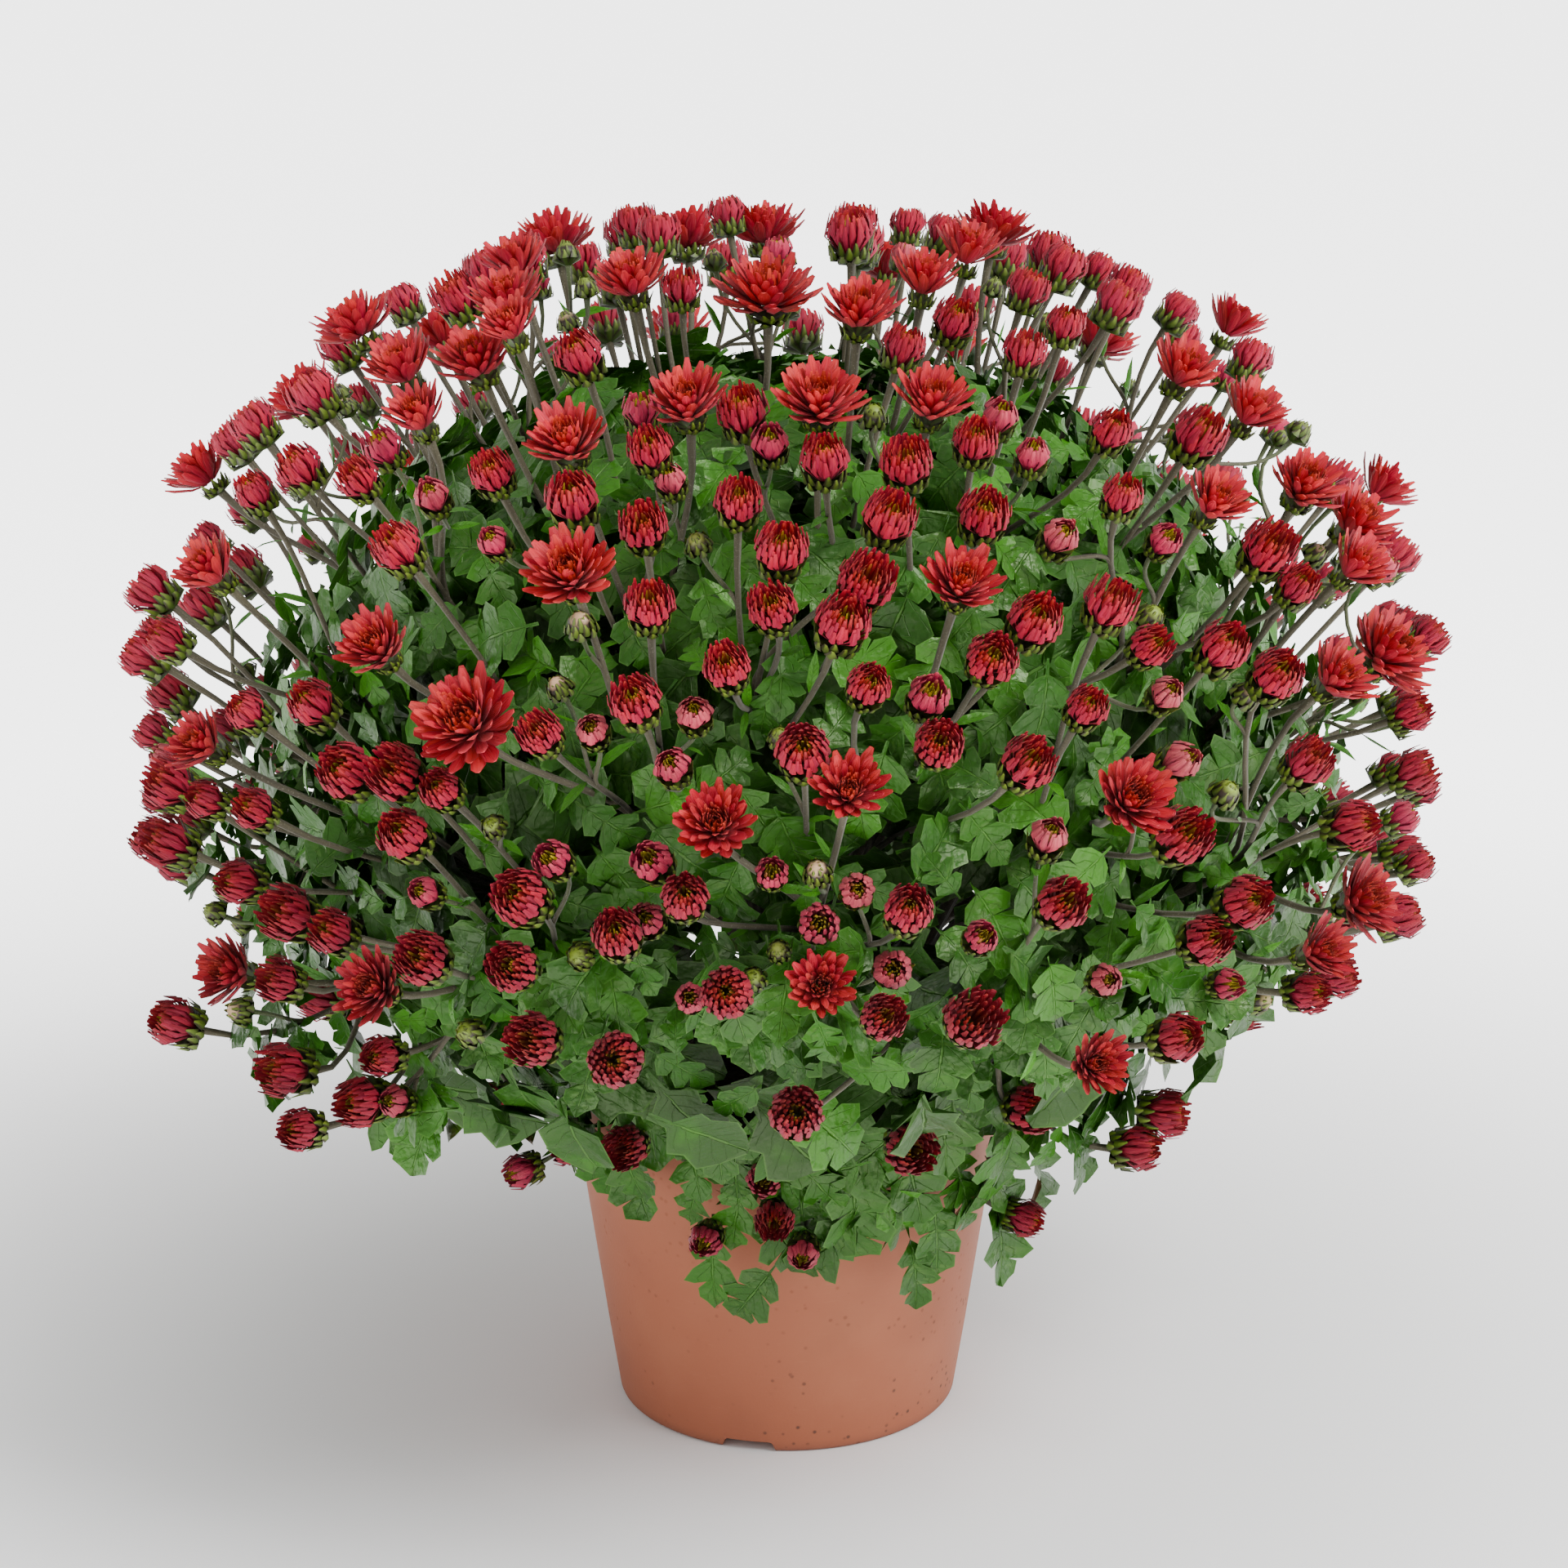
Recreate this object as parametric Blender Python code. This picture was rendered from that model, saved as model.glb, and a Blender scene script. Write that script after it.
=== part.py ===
"""Garden chrysanthemum in a plastic nursery pot: pot, soil, seven leafy shoots and their open blooms.

Metres, +Z up, origin at the middle of the pot's foot. Azimuth 0 is the front (-Y), 90 degrees is +X.
"""

import math
import random

import bpy
import bmesh
from mathutils import Vector
from mathutils.bvhtree import BVHTree

# Pot: a 19 cm nursery pot
POT_SIDES = 28
POT_HEIGHT = 0.145
POT_TOP_RADIUS = 0.095
POT_FOOT_RADIUS = 0.0725
POT_WALL = 0.0022
POT_RIM_HEIGHT = 0.016
POT_RIM_STEP = 0.0018
POT_FOOT_BEVEL = 0.006
POT_FOOT_ROUND = 0.3
POT_RIM_SLOPE = 0.5
POT_FLOOR_UNDER = 0.005
POT_FLOOR_TOP = 0.0075
POT_FOOT_INNER = 0.0585
DRAIN_NOTCHES = 3
DRAIN_NOTCH_TURN = -13.0
DRAIN_NOTCH_WIDTH = 0.026
DRAIN_NOTCH_HEIGHT = 0.0046
DRAIN_NOTCH_IN = 0.050
DRAIN_NOTCH_OUTLINE = ((-1.0, -1.0), (1.0, -1.0), (1.0, 0.0), (0.78, 1.0), (-0.78, 1.0), (-1.0, 0.0))
DRAIN_HOLES = 4
DRAIN_HOLE_RADIUS = 0.007
DRAIN_HOLE_RING = 0.042
DRAIN_HOLE_TURN = 45.0
DRAIN_HOLE_TOP = 0.015
HOLE_SIDES = 8
PLASTIC_COLOUR = (0.479, 0.188, 0.117)
PLASTIC_ROUGHNESS = 0.55

# Soil, with a plain hole for each stem
GAP = 0.0003
SOIL_TOP = 0.130
SOIL_CROWN = 0.004
STEM_HOLE_DEPTH = 0.030
STEM_HOLE_RISE = 0.016
SOIL_MIDDLE = 0.62
SOIL_MIDDLE_RISE = 0.6
SOIL_BUMP = 0.0012
SOIL_COLOUR = (0.018, 0.011, 0.007)
SOIL_ROUGHNESS = 0.95

# Plant: everything radiates from the crown, and the flower heads end on a dome
UP = Vector((0.0, 0.0, 1.0))
DOME_CENTRE = Vector((0.0, 0.0, 0.300))
DOME_TOP = 0.212
DOME_SIDE = 0.278
DOME_SKIRT_START = 102.0
DOME_SKIRT_END = 124.0
DOME_SKIRT_DROP = 0.058
OUTER_SHOOTS = 6
OUTER_STEM_RING = 0.034
STEM_RADIUS = 0.0048
CENTRE_SHOOT_RADIUS = 0.018
CENTRE_SHOOT_FLARE = 0.39
BORDER = 0.0012

# Where the camera stood, and what the photograph's 1920 x 1920 frame shows at which pixel, read by eye
CAMERA = Vector((0.0, -1.5344, 0.7319))
CAMERA_TILT = 16.76
PIXELS_PER_RADIAN = 4722.0
MIDDLE_X, MIDDLE_Y = 964.0, 960.0
OPEN_BLOOMS = (
    (558, 872, 78), (690, 690, 66), (938, 312, 70), (1715, 785, 66), (1392, 972, 62), (1182, 708, 60),
    (1005, 478, 62), (692, 530, 58), (877, 1005, 56), (1680, 1095, 60), (452, 785, 56), (575, 430, 56),
    (1672, 628, 56), (1645, 825, 52), (1040, 965, 54), (770, 330, 54), (450, 1205, 52), (843, 470, 52),
    (1055, 372, 52), (273, 1185, 52), (485, 440, 52), (1148, 485, 50), (1455, 445, 50), (250, 690, 50),
    (1008, 1210, 48), (1192, 290, 46), (1345, 1300, 46), (1495, 610, 48), (240, 905, 48), (505, 502, 46),
    (1620, 1160, 46), (625, 312, 46), (1540, 497, 46), (1672, 705, 46),
)
CUP_HEADS = (
    (380, 480), (285, 538), (365, 570), (310, 600), (437, 585), (557, 360), (778, 272), (708, 432),
    (835, 350), (890, 270), (1040, 283), (975, 350), (1110, 405), (1170, 390), (1260, 352), (1370, 370),
    (1255, 428), (1305, 395), (1195, 538), (1362, 525), (1375, 605), (1205, 628), (1555, 670),
    (1470, 530), (602, 577), (700, 608), (795, 548), (907, 485), (905, 612), (1010, 545), (1110, 565),
    (1090, 632), (787, 643), (957, 670), (485, 668), (183, 722), (203, 782), (165, 800), (380, 860),
    (300, 870), (420, 943), (482, 945), (205, 958), (250, 978), (310, 990), (660, 897), (795, 740),
    (945, 742), (1062, 710), (1033, 760), (890, 815), (777, 857), (1065, 838), (1215, 805), (1360, 738),
    (1268, 758), (1410, 790), (1500, 790), (1332, 865), (1565, 825), (1590, 715), (983, 918),
    (1150, 910), (1260, 933), (1603, 932), (1660, 1010), (1735, 945), (1730, 870), (492, 1020),
    (538, 965), (635, 1097), (290, 1080), (350, 1118), (405, 1140), (340, 1200), (515, 1172),
    (625, 1183), (755, 1142), (838, 1097), (1113, 1112), (1303, 1105), (1450, 1022), (1480, 1150),
    (1515, 1110), (1193, 1247), (1083, 1245), (890, 1215), (650, 1273), (753, 1298), (465, 1293),
    (345, 1310), (438, 1350), (365, 1383), (597, 1350), (210, 1250), (203, 1030), (765, 1405),
    (975, 1363), (1117, 1407), (1265, 1358), (1445, 1270), (1430, 1363), (1397, 1405), (1257, 1492),
    (948, 1495), (1605, 1215),
)

# Flower heads: radii in metres, heights in radii, and how far under the dome each stage stands
HEAD_RADII = {"cup": 0.0095, "bud": 0.0058}
HEAD_DEPTHS = {"open": 0.004, "cup": 0.009, "bud": 0.026}
HEAD_HEIGHTS = {"open": 0.62, "cup": 1.75, "bud": 1.9}
HEAD_MIDDLES = {"open": 0.42, "cup": 0.95, "bud": 0.95}
STALKS_FROM = Vector((0.0, 0.0, 0.125))
GOLDEN_ANGLE = 137.508
HEAD_TURNS = 8
HEAD_COLUMNS = 6
BLOOM_SHRINK = 0.93
BLOOM_SHIFTS = (0.0, 0.003, 0.006, 0.009, 0.012, 0.016, 0.020, 0.026, 0.032)
BACK_CANDIDATES = 150
BACK_BLOOMS = 16
BACK_BLOOM_SPACING = 0.078
BACK_BLOOM_RADII = (0.0135, 0.0185)
LAST_BLOOM_POLAR = 108.0
CUP_SIZES = (0.85, 1.08)
CUP_SPACING = 0.054
CUP_SHIFTS = (0.0, 0.003, 0.006, 0.009, 0.012)
FILL_CANDIDATES = 620
FILL_SPACING = 0.066
BUD_CANDIDATES = 300
BUD_SPACING = 0.053
LAST_POLAR = 122.0
SIGHT_START, SIGHT_STEP, SIGHT_STEPS = 1.10, 0.003, 240
SIGHT_LINE = Vector((0.36, 0.48, 0.80))
SIGHT_SKIP = 0.00001

# Stalks, and the calyx under an open bloom
STALK_SIDES = 3
STALK_RADIUS = 0.0016
STALK_ROOT = 0.010
STALK_SUNK = 0.005
STALK_SHOWING = 0.008
STALK_TESTS = 6
ROOT_STEP = 0.003
ROOT_STEPS = 70
ROOT_SHIFTS = (0.0, 0.004, 0.008, 0.012, 0.018, 0.024)
NECK_FLARE = 1.2
CALYX_HEIGHT = 0.0060
CALYX_RADIUS = 0.0062

# Shapes of the heads as (distance from the axis, height), both in radii of the head
BLOOM_COLUMNS = 7
BLOOM_RINGS = ((0.30, 0.00), (0.37, 0.20), (0.30, 0.40), (0.17, 0.50))
BLOOM_TIPS = ((1.00, 0.22), (0.78, 0.66), (0.42, 0.92))
PETAL_LENGTHS = (0.86, 1.0)
PETAL_WAVE = 0.06
PETAL_TURN = 0.75
PETAL_COLOUR = (0.42, 0.018, 0.012)
PETAL_ROUGHNESS = 0.6
CUP_BELLY = (0.86, 0.60)
CUP_TIP = (1.0, 1.75)
CUP_VALLEY = (0.78, 1.35)
CUP_MIDDLE = 1.12
CUP_JAG = 0.08
CUP_BELLY_TURN = 0.3
CUP_TIP_TURN = 0.6
BUD_BELLY = 0.9

# Foliage: the leafy canopy under the heads, and the smaller core that the leaves stand out of
CANOPY_DROP_TOP = 0.066
CANOPY_DROP_SKIRT = 0.026
CANOPY_SKIRT_START = 50.0
CANOPY_SKIRT_END = 110.0
CORE_UNDER = 0.027
CORE_BUMP = 0.006
CORE_STEPS = 4
CORE_POLARS = (53.0, 70.0, 88.0, 103.0, 115.0)
CORE_BORDER = 0.0038
CORE_FOOT = ((0.082, 0.172), (0.046, 0.158))
CENTRE_SIDES = 10
CENTRE_FOOT = ((0.022, 0.165), (0.058, 0.255))
CENTRE_POLARS = (49.0, 33.0, 17.0)
STEM_SIDES = 8
STEM_LEAN = 0.036
STEM_TOP = 0.192
LEAVES = 90
LEAF_LAST_POLAR = 113.0
LEAF_LENGTH = 0.090
LEAF_SIZES = (0.84, 1.06)
LEAF_SUNK = 0.010
LEAF_THICKNESS = 0.0026
LEAF_OUTLINE = ((0.36, 0.31), (0.50, 0.17), (0.74, 0.35), (0.83, 0.18))
LEAF_MIDDLE = 0.52
LEAF_DROOP = 0.20
LEAF_FOLD = 0.20
LEAF_TURN = 80.0
LEAF_TURN_LOW = 0.3
LEAF_TURN_START = 80.0
LEAF_TURN_END = 110.0
LEAF_TILTS = (18.0, 38.0)
LEAF_TRIES = 9
LEAF_CLEAR = 0.002
LEAF_APART = 0.0045
LEAF_SHOWING = 18
SKIRT_LEAVES = 20
SKIRT_RINGS = ((0.150, 0.206), (0.124, 0.196))
SKIRT_JITTER = 0.3
SKIRT_FACING = 100.0
SKIRT_TILTS = (-12.0, 20.0)
FOLIAGE_COLOUR = (0.045, 0.105, 0.035)
FOLIAGE_ROUGHNESS = 0.5
UNION_SOLVER = "MANIFOLD"
SHOOT_NAMES = (
    "leafy_shoot_centre", "leafy_shoot_front", "leafy_shoot_front_right", "leafy_shoot_back_right",
    "leafy_shoot_back", "leafy_shoot_back_left", "leafy_shoot_front_left",
)
SEED = 5


def smooth(value):
    """0 below 0, 1 above 1, and an S-curve between."""
    value = min(1.0, max(0.0, value))
    return value * value * (3 - 2 * value)


def heading(azimuth, polar):
    """The unit vector at an azimuth and an angle down from straight up, in degrees."""
    a, p = math.radians(azimuth), math.radians(polar)
    return Vector((math.sin(p) * math.sin(a), -math.sin(p) * math.cos(a), math.cos(p)))


def upright(azimuth, across, height):
    """The point at an azimuth in degrees, a distance from the pot's axis and a height."""
    a = math.radians(azimuth)
    return Vector((across * math.sin(a), -across * math.cos(a), height))


def polar_of(point):
    """The angle down from straight up at which a point is seen from the dome's centre, in degrees."""
    v = point - DOME_CENTRE
    return math.degrees(math.atan2(math.hypot(v.x, v.y), v.z))


def dome_reach(polar):
    """How far the flower heads reach from the dome's centre."""
    if polar < 90:
        return DOME_TOP + (DOME_SIDE - DOME_TOP) * math.sin(math.radians(polar)) ** 2
    skirt = (polar - DOME_SKIRT_START) / (DOME_SKIRT_END - DOME_SKIRT_START)
    return DOME_SIDE - DOME_SKIRT_DROP * smooth(skirt)


def core_reach(polar):
    """How far the core under the leaves reaches."""
    skirt = (polar - CANOPY_SKIRT_START) / (CANOPY_SKIRT_END - CANOPY_SKIRT_START)
    drop = CANOPY_DROP_TOP + (CANOPY_DROP_SKIRT - CANOPY_DROP_TOP) * smooth(skirt)
    return dome_reach(polar) - drop - CORE_UNDER


def inside(point, reach):
    """How deep a point lies under the surface that reach gives, negative outside."""
    return reach(polar_of(point)) - (point - DOME_CENTRE).length


def shoot_at(point):
    """(number of the shoot that owns this point, distance to the nearest border between shoots)."""
    across = math.hypot(point.x, point.y)
    edge = CENTRE_SHOOT_RADIUS + CENTRE_SHOOT_FLARE * max(0.0, point.z - SOIL_TOP)
    to_cone = abs(across - edge) * math.cos(math.atan(CENTRE_SHOOT_FLARE))
    if across < edge:
        return 0, to_cone
    width = 360 / OUTER_SHOOTS
    turned = (math.degrees(math.atan2(point.x, -point.y)) + width / 2) % 360
    aside = min(turned % width, width - turned % width)
    return 1 + int(turned // width), min(to_cone, across * math.sin(math.radians(aside)))


def clear_of_pot(point, reach):
    """Whether a point keeps a distance to the pot and the soil in it."""
    return math.hypot(point.x, point.y) > POT_TOP_RADIUS + reach or point.z > POT_HEIGHT + reach


def on_dome(px, py, depth):
    """The point at a depth under the dome that is seen at a pixel, or the deepest one on its sight line."""
    tilt = math.radians(CAMERA_TILT)
    rise = (MIDDLE_Y - py) / PIXELS_PER_RADIAN
    line = Vector((
        (px - MIDDLE_X) / PIXELS_PER_RADIAN,
        math.cos(tilt) + math.sin(tilt) * rise,
        -math.sin(tilt) + math.cos(tilt) * rise,
    )).normalized()
    deepest, found = -1.0, CAMERA
    for step in range(SIGHT_STEPS):
        point = CAMERA + line * (SIGHT_START + SIGHT_STEP * step)
        depth_here = inside(point, dome_reach)
        if depth_here > deepest:
            deepest, found = depth_here, point
        if depth_here >= depth:
            break
    return found


def side_vectors(axis):
    """Two unit vectors square to an axis and to each other."""
    aside = axis.cross(UP)
    if aside.length < 0.01:
        aside = Vector((1, 0, 0))
    aside.normalize()
    return aside, axis.cross(aside).normalized()


def distance_to_line(point, start, end):
    """Distance from a point to the straight piece between start and end."""
    line = end - start
    along = max(0.0, min(1.0, (point - start).dot(line) / line.length_squared))
    return (point - start - line * along).length


class Head:
    """One flower head on its stalk: an open bloom, a cup of upright petals, or a closed bud."""

    def __init__(self, stage, point, radius):
        self.stage, self.point, self.radius = stage, point, radius
        self.axis = (point - STALKS_FROM).normalized()
        self.base = point - self.axis * radius * HEAD_HEIGHTS[stage]
        self.middle = self.base + self.axis * radius * HEAD_MIDDLES[stage]
        self.foot = self.base - self.axis * (CALYX_HEIGHT + GAP if stage == "open" else 0.0)
        self.shoot, self.to_border = shoot_at(self.foot)
        self.root = None

    def keeps_in(self):
        """Whether the head itself keeps clear of the borders between shoots."""
        if not clear_of_pot(self.middle, self.radius + LEAF_CLEAR):
            return False
        if self.stage == "open":
            return self.to_border > CALYX_RADIUS + BORDER
        owner, margin = shoot_at(self.point)
        return owner == self.shoot and min(margin, self.to_border) > self.radius + BORDER

    def find_root(self, core):
        """A point in the core to grow from, with a straight stalk that stays in its own shoot."""
        if core.depth(self.foot) > -STALK_SHOWING:
            return None
        start = core.sunk(self.foot, STALK_ROOT)
        for step in range(ROOT_STEPS):
            point = self.foot - self.axis * step * ROOT_STEP
            if core.depth(point) > STALK_SUNK:
                start = point
                break
        first, second = side_vectors(self.axis)
        for reach in ROOT_SHIFTS:
            for turn in range(HEAD_TURNS if reach else 1):
                a = 2 * math.pi * turn / HEAD_TURNS
                root = start + (first * math.cos(a) + second * math.sin(a)) * reach
                if core.depth(root) > STALK_SUNK and self.stays_in_shoot(root):
                    return root
        return None

    def stays_in_shoot(self, root):
        """Whether the stalk from this root keeps to its own shoot, and its root to that shoot's core."""
        for step in range(STALK_TESTS, -1, -1):
            point = self.foot.lerp(root, step / STALK_TESTS)
            owner, margin = shoot_at(point)
            if not clear_of_pot(point, STALK_RADIUS + LEAF_CLEAR):
                return False
            if owner != self.shoot or margin < STALK_RADIUS + BORDER:
                return False
        return True

    def fits(self, others, cores):
        """Whether this head lies clear of the borders and of every other head and stalk."""
        if not self.keeps_in():
            return False
        for other in others:
            if (self.middle - other.middle).length < self.radius + other.radius + BORDER:
                return False
            if distance_to_line(self.middle, other.foot, other.root) < self.radius + STALK_RADIUS + BORDER:
                return False
        self.root = self.find_root(cores[self.shoot])
        if self.root is None:
            return False
        return all(
            distance_to_line(other.middle, self.foot, self.root) > other.radius + STALK_RADIUS + BORDER
            for other in others
        )


def place(heads, cores, stage, point, radius, shifts):
    """Add a head at a point, or at the nearest place round it that is free."""
    first, second = side_vectors((point - DOME_CENTRE).normalized())
    for reach in shifts:
        for turn in range(HEAD_TURNS if reach else 1):
            a = 2 * math.pi * turn / HEAD_TURNS
            head = Head(stage, point + (first * math.cos(a) + second * math.sin(a)) * reach, radius)
            if head.fits(heads, cores):
                heads.append(head)
                return


def spread(count, last_polar):
    """Directions spread evenly over the dome from its top to the last polar angle, by the golden angle."""
    for index in range(count):
        rise = 1 - (index + 0.5) / count * (1 - math.cos(math.radians(last_polar)))
        yield (index * GOLDEN_ANGLE) % 360, math.degrees(math.acos(rise))


def far_from(point, heads, spacing):
    """Whether a point keeps the spacing to every head."""
    return all((point - head.point).length > spacing for head in heads)


def lay_out_heads(cores):
    """Every flower head: those of the photograph's side at their places, the others spread over the rest."""
    rng = random.Random(SEED)
    heads = []
    for px, py, pixels in OPEN_BLOOMS:
        point = on_dome(px, py, HEAD_DEPTHS["open"])
        radius = pixels * (point - CAMERA).length / PIXELS_PER_RADIAN * BLOOM_SHRINK
        place(heads, cores, "open", point, radius, BLOOM_SHIFTS)
    front = len(heads)
    for azimuth, polar in spread(BACK_CANDIDATES, LAST_BLOOM_POLAR):
        point = DOME_CENTRE + heading(azimuth, polar) * (dome_reach(polar) - HEAD_DEPTHS["open"])
        if len(heads) < front + BACK_BLOOMS and far_from(point, heads, BACK_BLOOM_SPACING):
            place(heads, cores, "open", point, rng.uniform(*BACK_BLOOM_RADII), BLOOM_SHIFTS)
    for px, py in CUP_HEADS:
        point = on_dome(px, py, HEAD_DEPTHS["cup"])
        if far_from(point, heads, CUP_SPACING):
            place(heads, cores, "cup", point, HEAD_RADII["cup"] * rng.uniform(*CUP_SIZES), CUP_SHIFTS)
    for azimuth, polar in spread(FILL_CANDIDATES, LAST_POLAR):
        point = DOME_CENTRE + heading(azimuth, polar) * (dome_reach(polar) - HEAD_DEPTHS["cup"])
        if far_from(point, heads, FILL_SPACING):
            place(heads, cores, "cup", point, HEAD_RADII["cup"] * rng.uniform(*CUP_SIZES), CUP_SHIFTS)
    for azimuth, polar in spread(BUD_CANDIDATES, LAST_POLAR):
        point = DOME_CENTRE + heading(azimuth, polar) * (dome_reach(polar) - HEAD_DEPTHS["bud"])
        if far_from(point, heads, BUD_SPACING):
            place(heads, cores, "bud", point, HEAD_RADII["bud"], CUP_SHIFTS)
    return heads


def ring(centre, axis, radius, sides, turn=0.0):
    """Points of a regular ring round an axis; turn is in steps."""
    first, second = side_vectors(axis)
    points = []
    for index in range(sides):
        a = 2 * math.pi * (index + turn) / sides
        points.append(centre + (first * math.cos(a) + second * math.sin(a)) * radius)
    return points


class Skin:
    """A closed mesh built ring by ring."""

    def __init__(self):
        self.points, self.faces = [], []

    def add(self, points):
        """Add points and return their numbers."""
        start = len(self.points)
        self.points.extend(points)
        return list(range(start, len(self.points)))

    def join(self, low, high):
        """Faces between two rings of as many points, or of twice as many on the high one."""
        double = len(high) == 2 * len(low)
        for index in range(len(low)):
            a, b = low[index], low[(index + 1) % len(low)]
            if double:
                c, d, e = (high[(2 * index + step) % len(high)] for step in range(3))
                self.faces += [(a, d, c), (a, b, d), (b, e, d)]
            else:
                c, d = high[index], high[(index + 1) % len(high)]
                self.faces += [(a, b, d), (a, d, c)]

    def fan(self, around, tip):
        """Faces from a ring to one point."""
        for index in range(len(around)):
            self.faces.append((around[index], around[(index + 1) % len(around)], tip))

    def cap(self, around):
        """One flat face over a ring."""
        self.faces.append(tuple(around))

    def mesh(self, name):
        """The mesh, in triangles with its faces pointing out."""
        mesh = bpy.data.meshes.new(name)
        mesh.from_pydata(self.points, [], self.faces)
        bm = bmesh.new()
        bm.from_mesh(mesh)
        bmesh.ops.recalc_face_normals(bm, faces=bm.faces)
        bmesh.ops.triangulate(bm, faces=bm.faces)
        bm.to_mesh(mesh)
        bm.free()
        return mesh


class Core:
    """The surface of a shoot's core, to find out how deep a point lies in it."""

    def __init__(self, skin):
        mesh = skin.mesh("core")
        self.tree = BVHTree.FromPolygons([v.co for v in mesh.vertices], [f.vertices for f in mesh.polygons])
        bpy.data.meshes.remove(mesh)

    def contains(self, point):
        """Whether a point lies inside, by counting the faces that a sight line from it passes."""
        passed, start = 0, point
        while True:
            place = self.tree.ray_cast(start, SIGHT_LINE)[0]
            if place is None:
                return passed % 2 == 1
            passed += 1
            start = place + SIGHT_LINE * SIGHT_SKIP

    def depth(self, point):
        """Distance from the surface, negative outside."""
        distance = self.tree.find_nearest(point)[3]
        return distance if self.contains(point) else -distance

    def sunk(self, point, depth):
        """The point, or the nearest place that lies so deep."""
        if self.depth(point) > depth:
            return point
        place, normal, _, _ = self.tree.find_nearest(point)
        return place - normal * depth


def material(name, colour, roughness):
    """A plain Principled material."""
    made = bpy.data.materials.new(name)
    made.use_nodes = True
    shader = made.node_tree.nodes["Principled BSDF"]
    shader.inputs["Base Color"].default_value = (*colour, 1.0)
    shader.inputs["Roughness"].default_value = roughness
    shader.inputs["Metallic"].default_value = 0.0
    return made


def add_object(name, mesh, surface=None, collection=None):
    """Link a mesh to the scene, or to a collection of operands, as a named object."""
    made = bpy.data.objects.new(name, mesh)
    if surface:
        mesh.materials.append(surface)
    (collection or bpy.context.scene.collection).objects.link(made)
    return made


def stalk(skin, head, top, top_radius):
    """A head's stalk from its root in the core to a ring at its top; returns that ring."""
    low = skin.add(ring(head.root, (top - head.root).normalized(), STALK_RADIUS, STALK_SIDES))
    high = skin.add(ring(top, head.axis, top_radius, STALK_SIDES))
    skin.cap(low)
    skin.join(low, high)
    return high


def cup_skin(head, rng):
    """A cup of upright petals with a jagged edge round a sunken middle."""
    skin = Skin()
    r, axis, turn = head.radius, head.axis, rng.random()
    neck = stalk(skin, head, head.base, STALK_RADIUS * NECK_FLARE)
    wide, high = CUP_BELLY
    belly = skin.add(ring(head.base + axis * r * high, axis, r * wide, HEAD_COLUMNS, turn * CUP_BELLY_TURN))
    skin.join(neck, belly)
    rim = []
    tips = ring(head.base, axis, r, 2 * HEAD_COLUMNS, turn * CUP_TIP_TURN)
    for index, point in enumerate(tips):
        out, height = CUP_TIP if index % 2 else CUP_VALLEY
        height += rng.uniform(-CUP_JAG, CUP_JAG)
        rim.append(head.base + (point - head.base) * out + axis * r * height)
    rim = skin.add(rim)
    skin.join(belly, rim)
    skin.fan(rim, skin.add([head.base + axis * r * CUP_MIDDLE])[0])
    return skin


def bud_skin(head):
    """A round closed bud."""
    skin = Skin()
    r, axis = head.radius, head.axis
    neck = stalk(skin, head, head.base, STALK_RADIUS)
    belly = skin.add(ring(head.base + axis * r * BUD_BELLY, axis, r, HEAD_COLUMNS))
    skin.join(neck, belly)
    skin.fan(belly, skin.add([head.base + axis * r * HEAD_HEIGHTS["bud"]])[0])
    return skin


def calyx_skin(head):
    """The stalk and the flared green cup under an open bloom, with a flat top just under the bloom."""
    skin = Skin()
    neck = stalk(skin, head, head.foot, STALK_RADIUS * NECK_FLARE)
    brim = skin.add(ring(head.base - head.axis * GAP, head.axis, CALYX_RADIUS, HEAD_COLUMNS))
    skin.join(neck, brim)
    skin.cap(brim)
    return skin


def bloom_skin(head, rng):
    """An open bloom: layers of pointed petals that rise towards a tight middle."""
    skin = Skin()
    r, axis, turn = head.radius, head.axis, rng.random()
    rings = []
    for index, (out, height) in enumerate(BLOOM_RINGS):
        centre = head.base + axis * r * height
        rings.append(skin.add(ring(centre, axis, r * out, BLOOM_COLUMNS, turn + index / 2)))
    skin.cap(rings[0])
    for index, (out, height) in enumerate(BLOOM_TIPS):
        low, high = rings[index], rings[index + 1]
        centre = head.base + axis * r * height
        tips = ring(centre, axis, r * out, BLOOM_COLUMNS, turn + index / 2 + PETAL_TURN)
        for column in range(BLOOM_COLUMNS):
            following = (column + 1) % BLOOM_COLUMNS
            length = (tips[column] - centre) * rng.uniform(*PETAL_LENGTHS)
            tip = centre + length + axis * r * rng.uniform(-PETAL_WAVE, PETAL_WAVE)
            corners = [low[column], low[following], high[following], high[column]]
            skin.fan(corners, skin.add([tip])[0])
    skin.cap(rings[-1])
    return skin


def leaf_points(root, along, out, length):
    """The outline and the middle of a lobed, folded and drooping leaf, and the way that its face looks."""
    aside = along.cross(out).normalized()
    face = aside.cross(along).normalized()

    def at(x, y):
        height = LEAF_FOLD * abs(y) - LEAF_DROOP * x * x
        return root + (along * x + aside * y + face * height) * length

    outline = [at(0.0, 0.0)]
    outline += [at(x, y) for x, y in LEAF_OUTLINE]
    outline.append(at(1.0, 0.0))
    outline += [at(x, -y) for x, y in reversed(LEAF_OUTLINE)]
    return outline, at(LEAF_MIDDLE, 0.0), face


def leaf_tests(outline, middle, core):
    """The points of a leaf outside the core that have to stay clear of everything else."""
    tests = [middle]
    for index, point in enumerate(outline[1:], 1):
        tests += [point, point.lerp(outline[index - 1], 0.5), point.lerp(middle, 0.5)]
    return [point for point in tests if core.depth(point) < LEAF_CLEAR]


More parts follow.
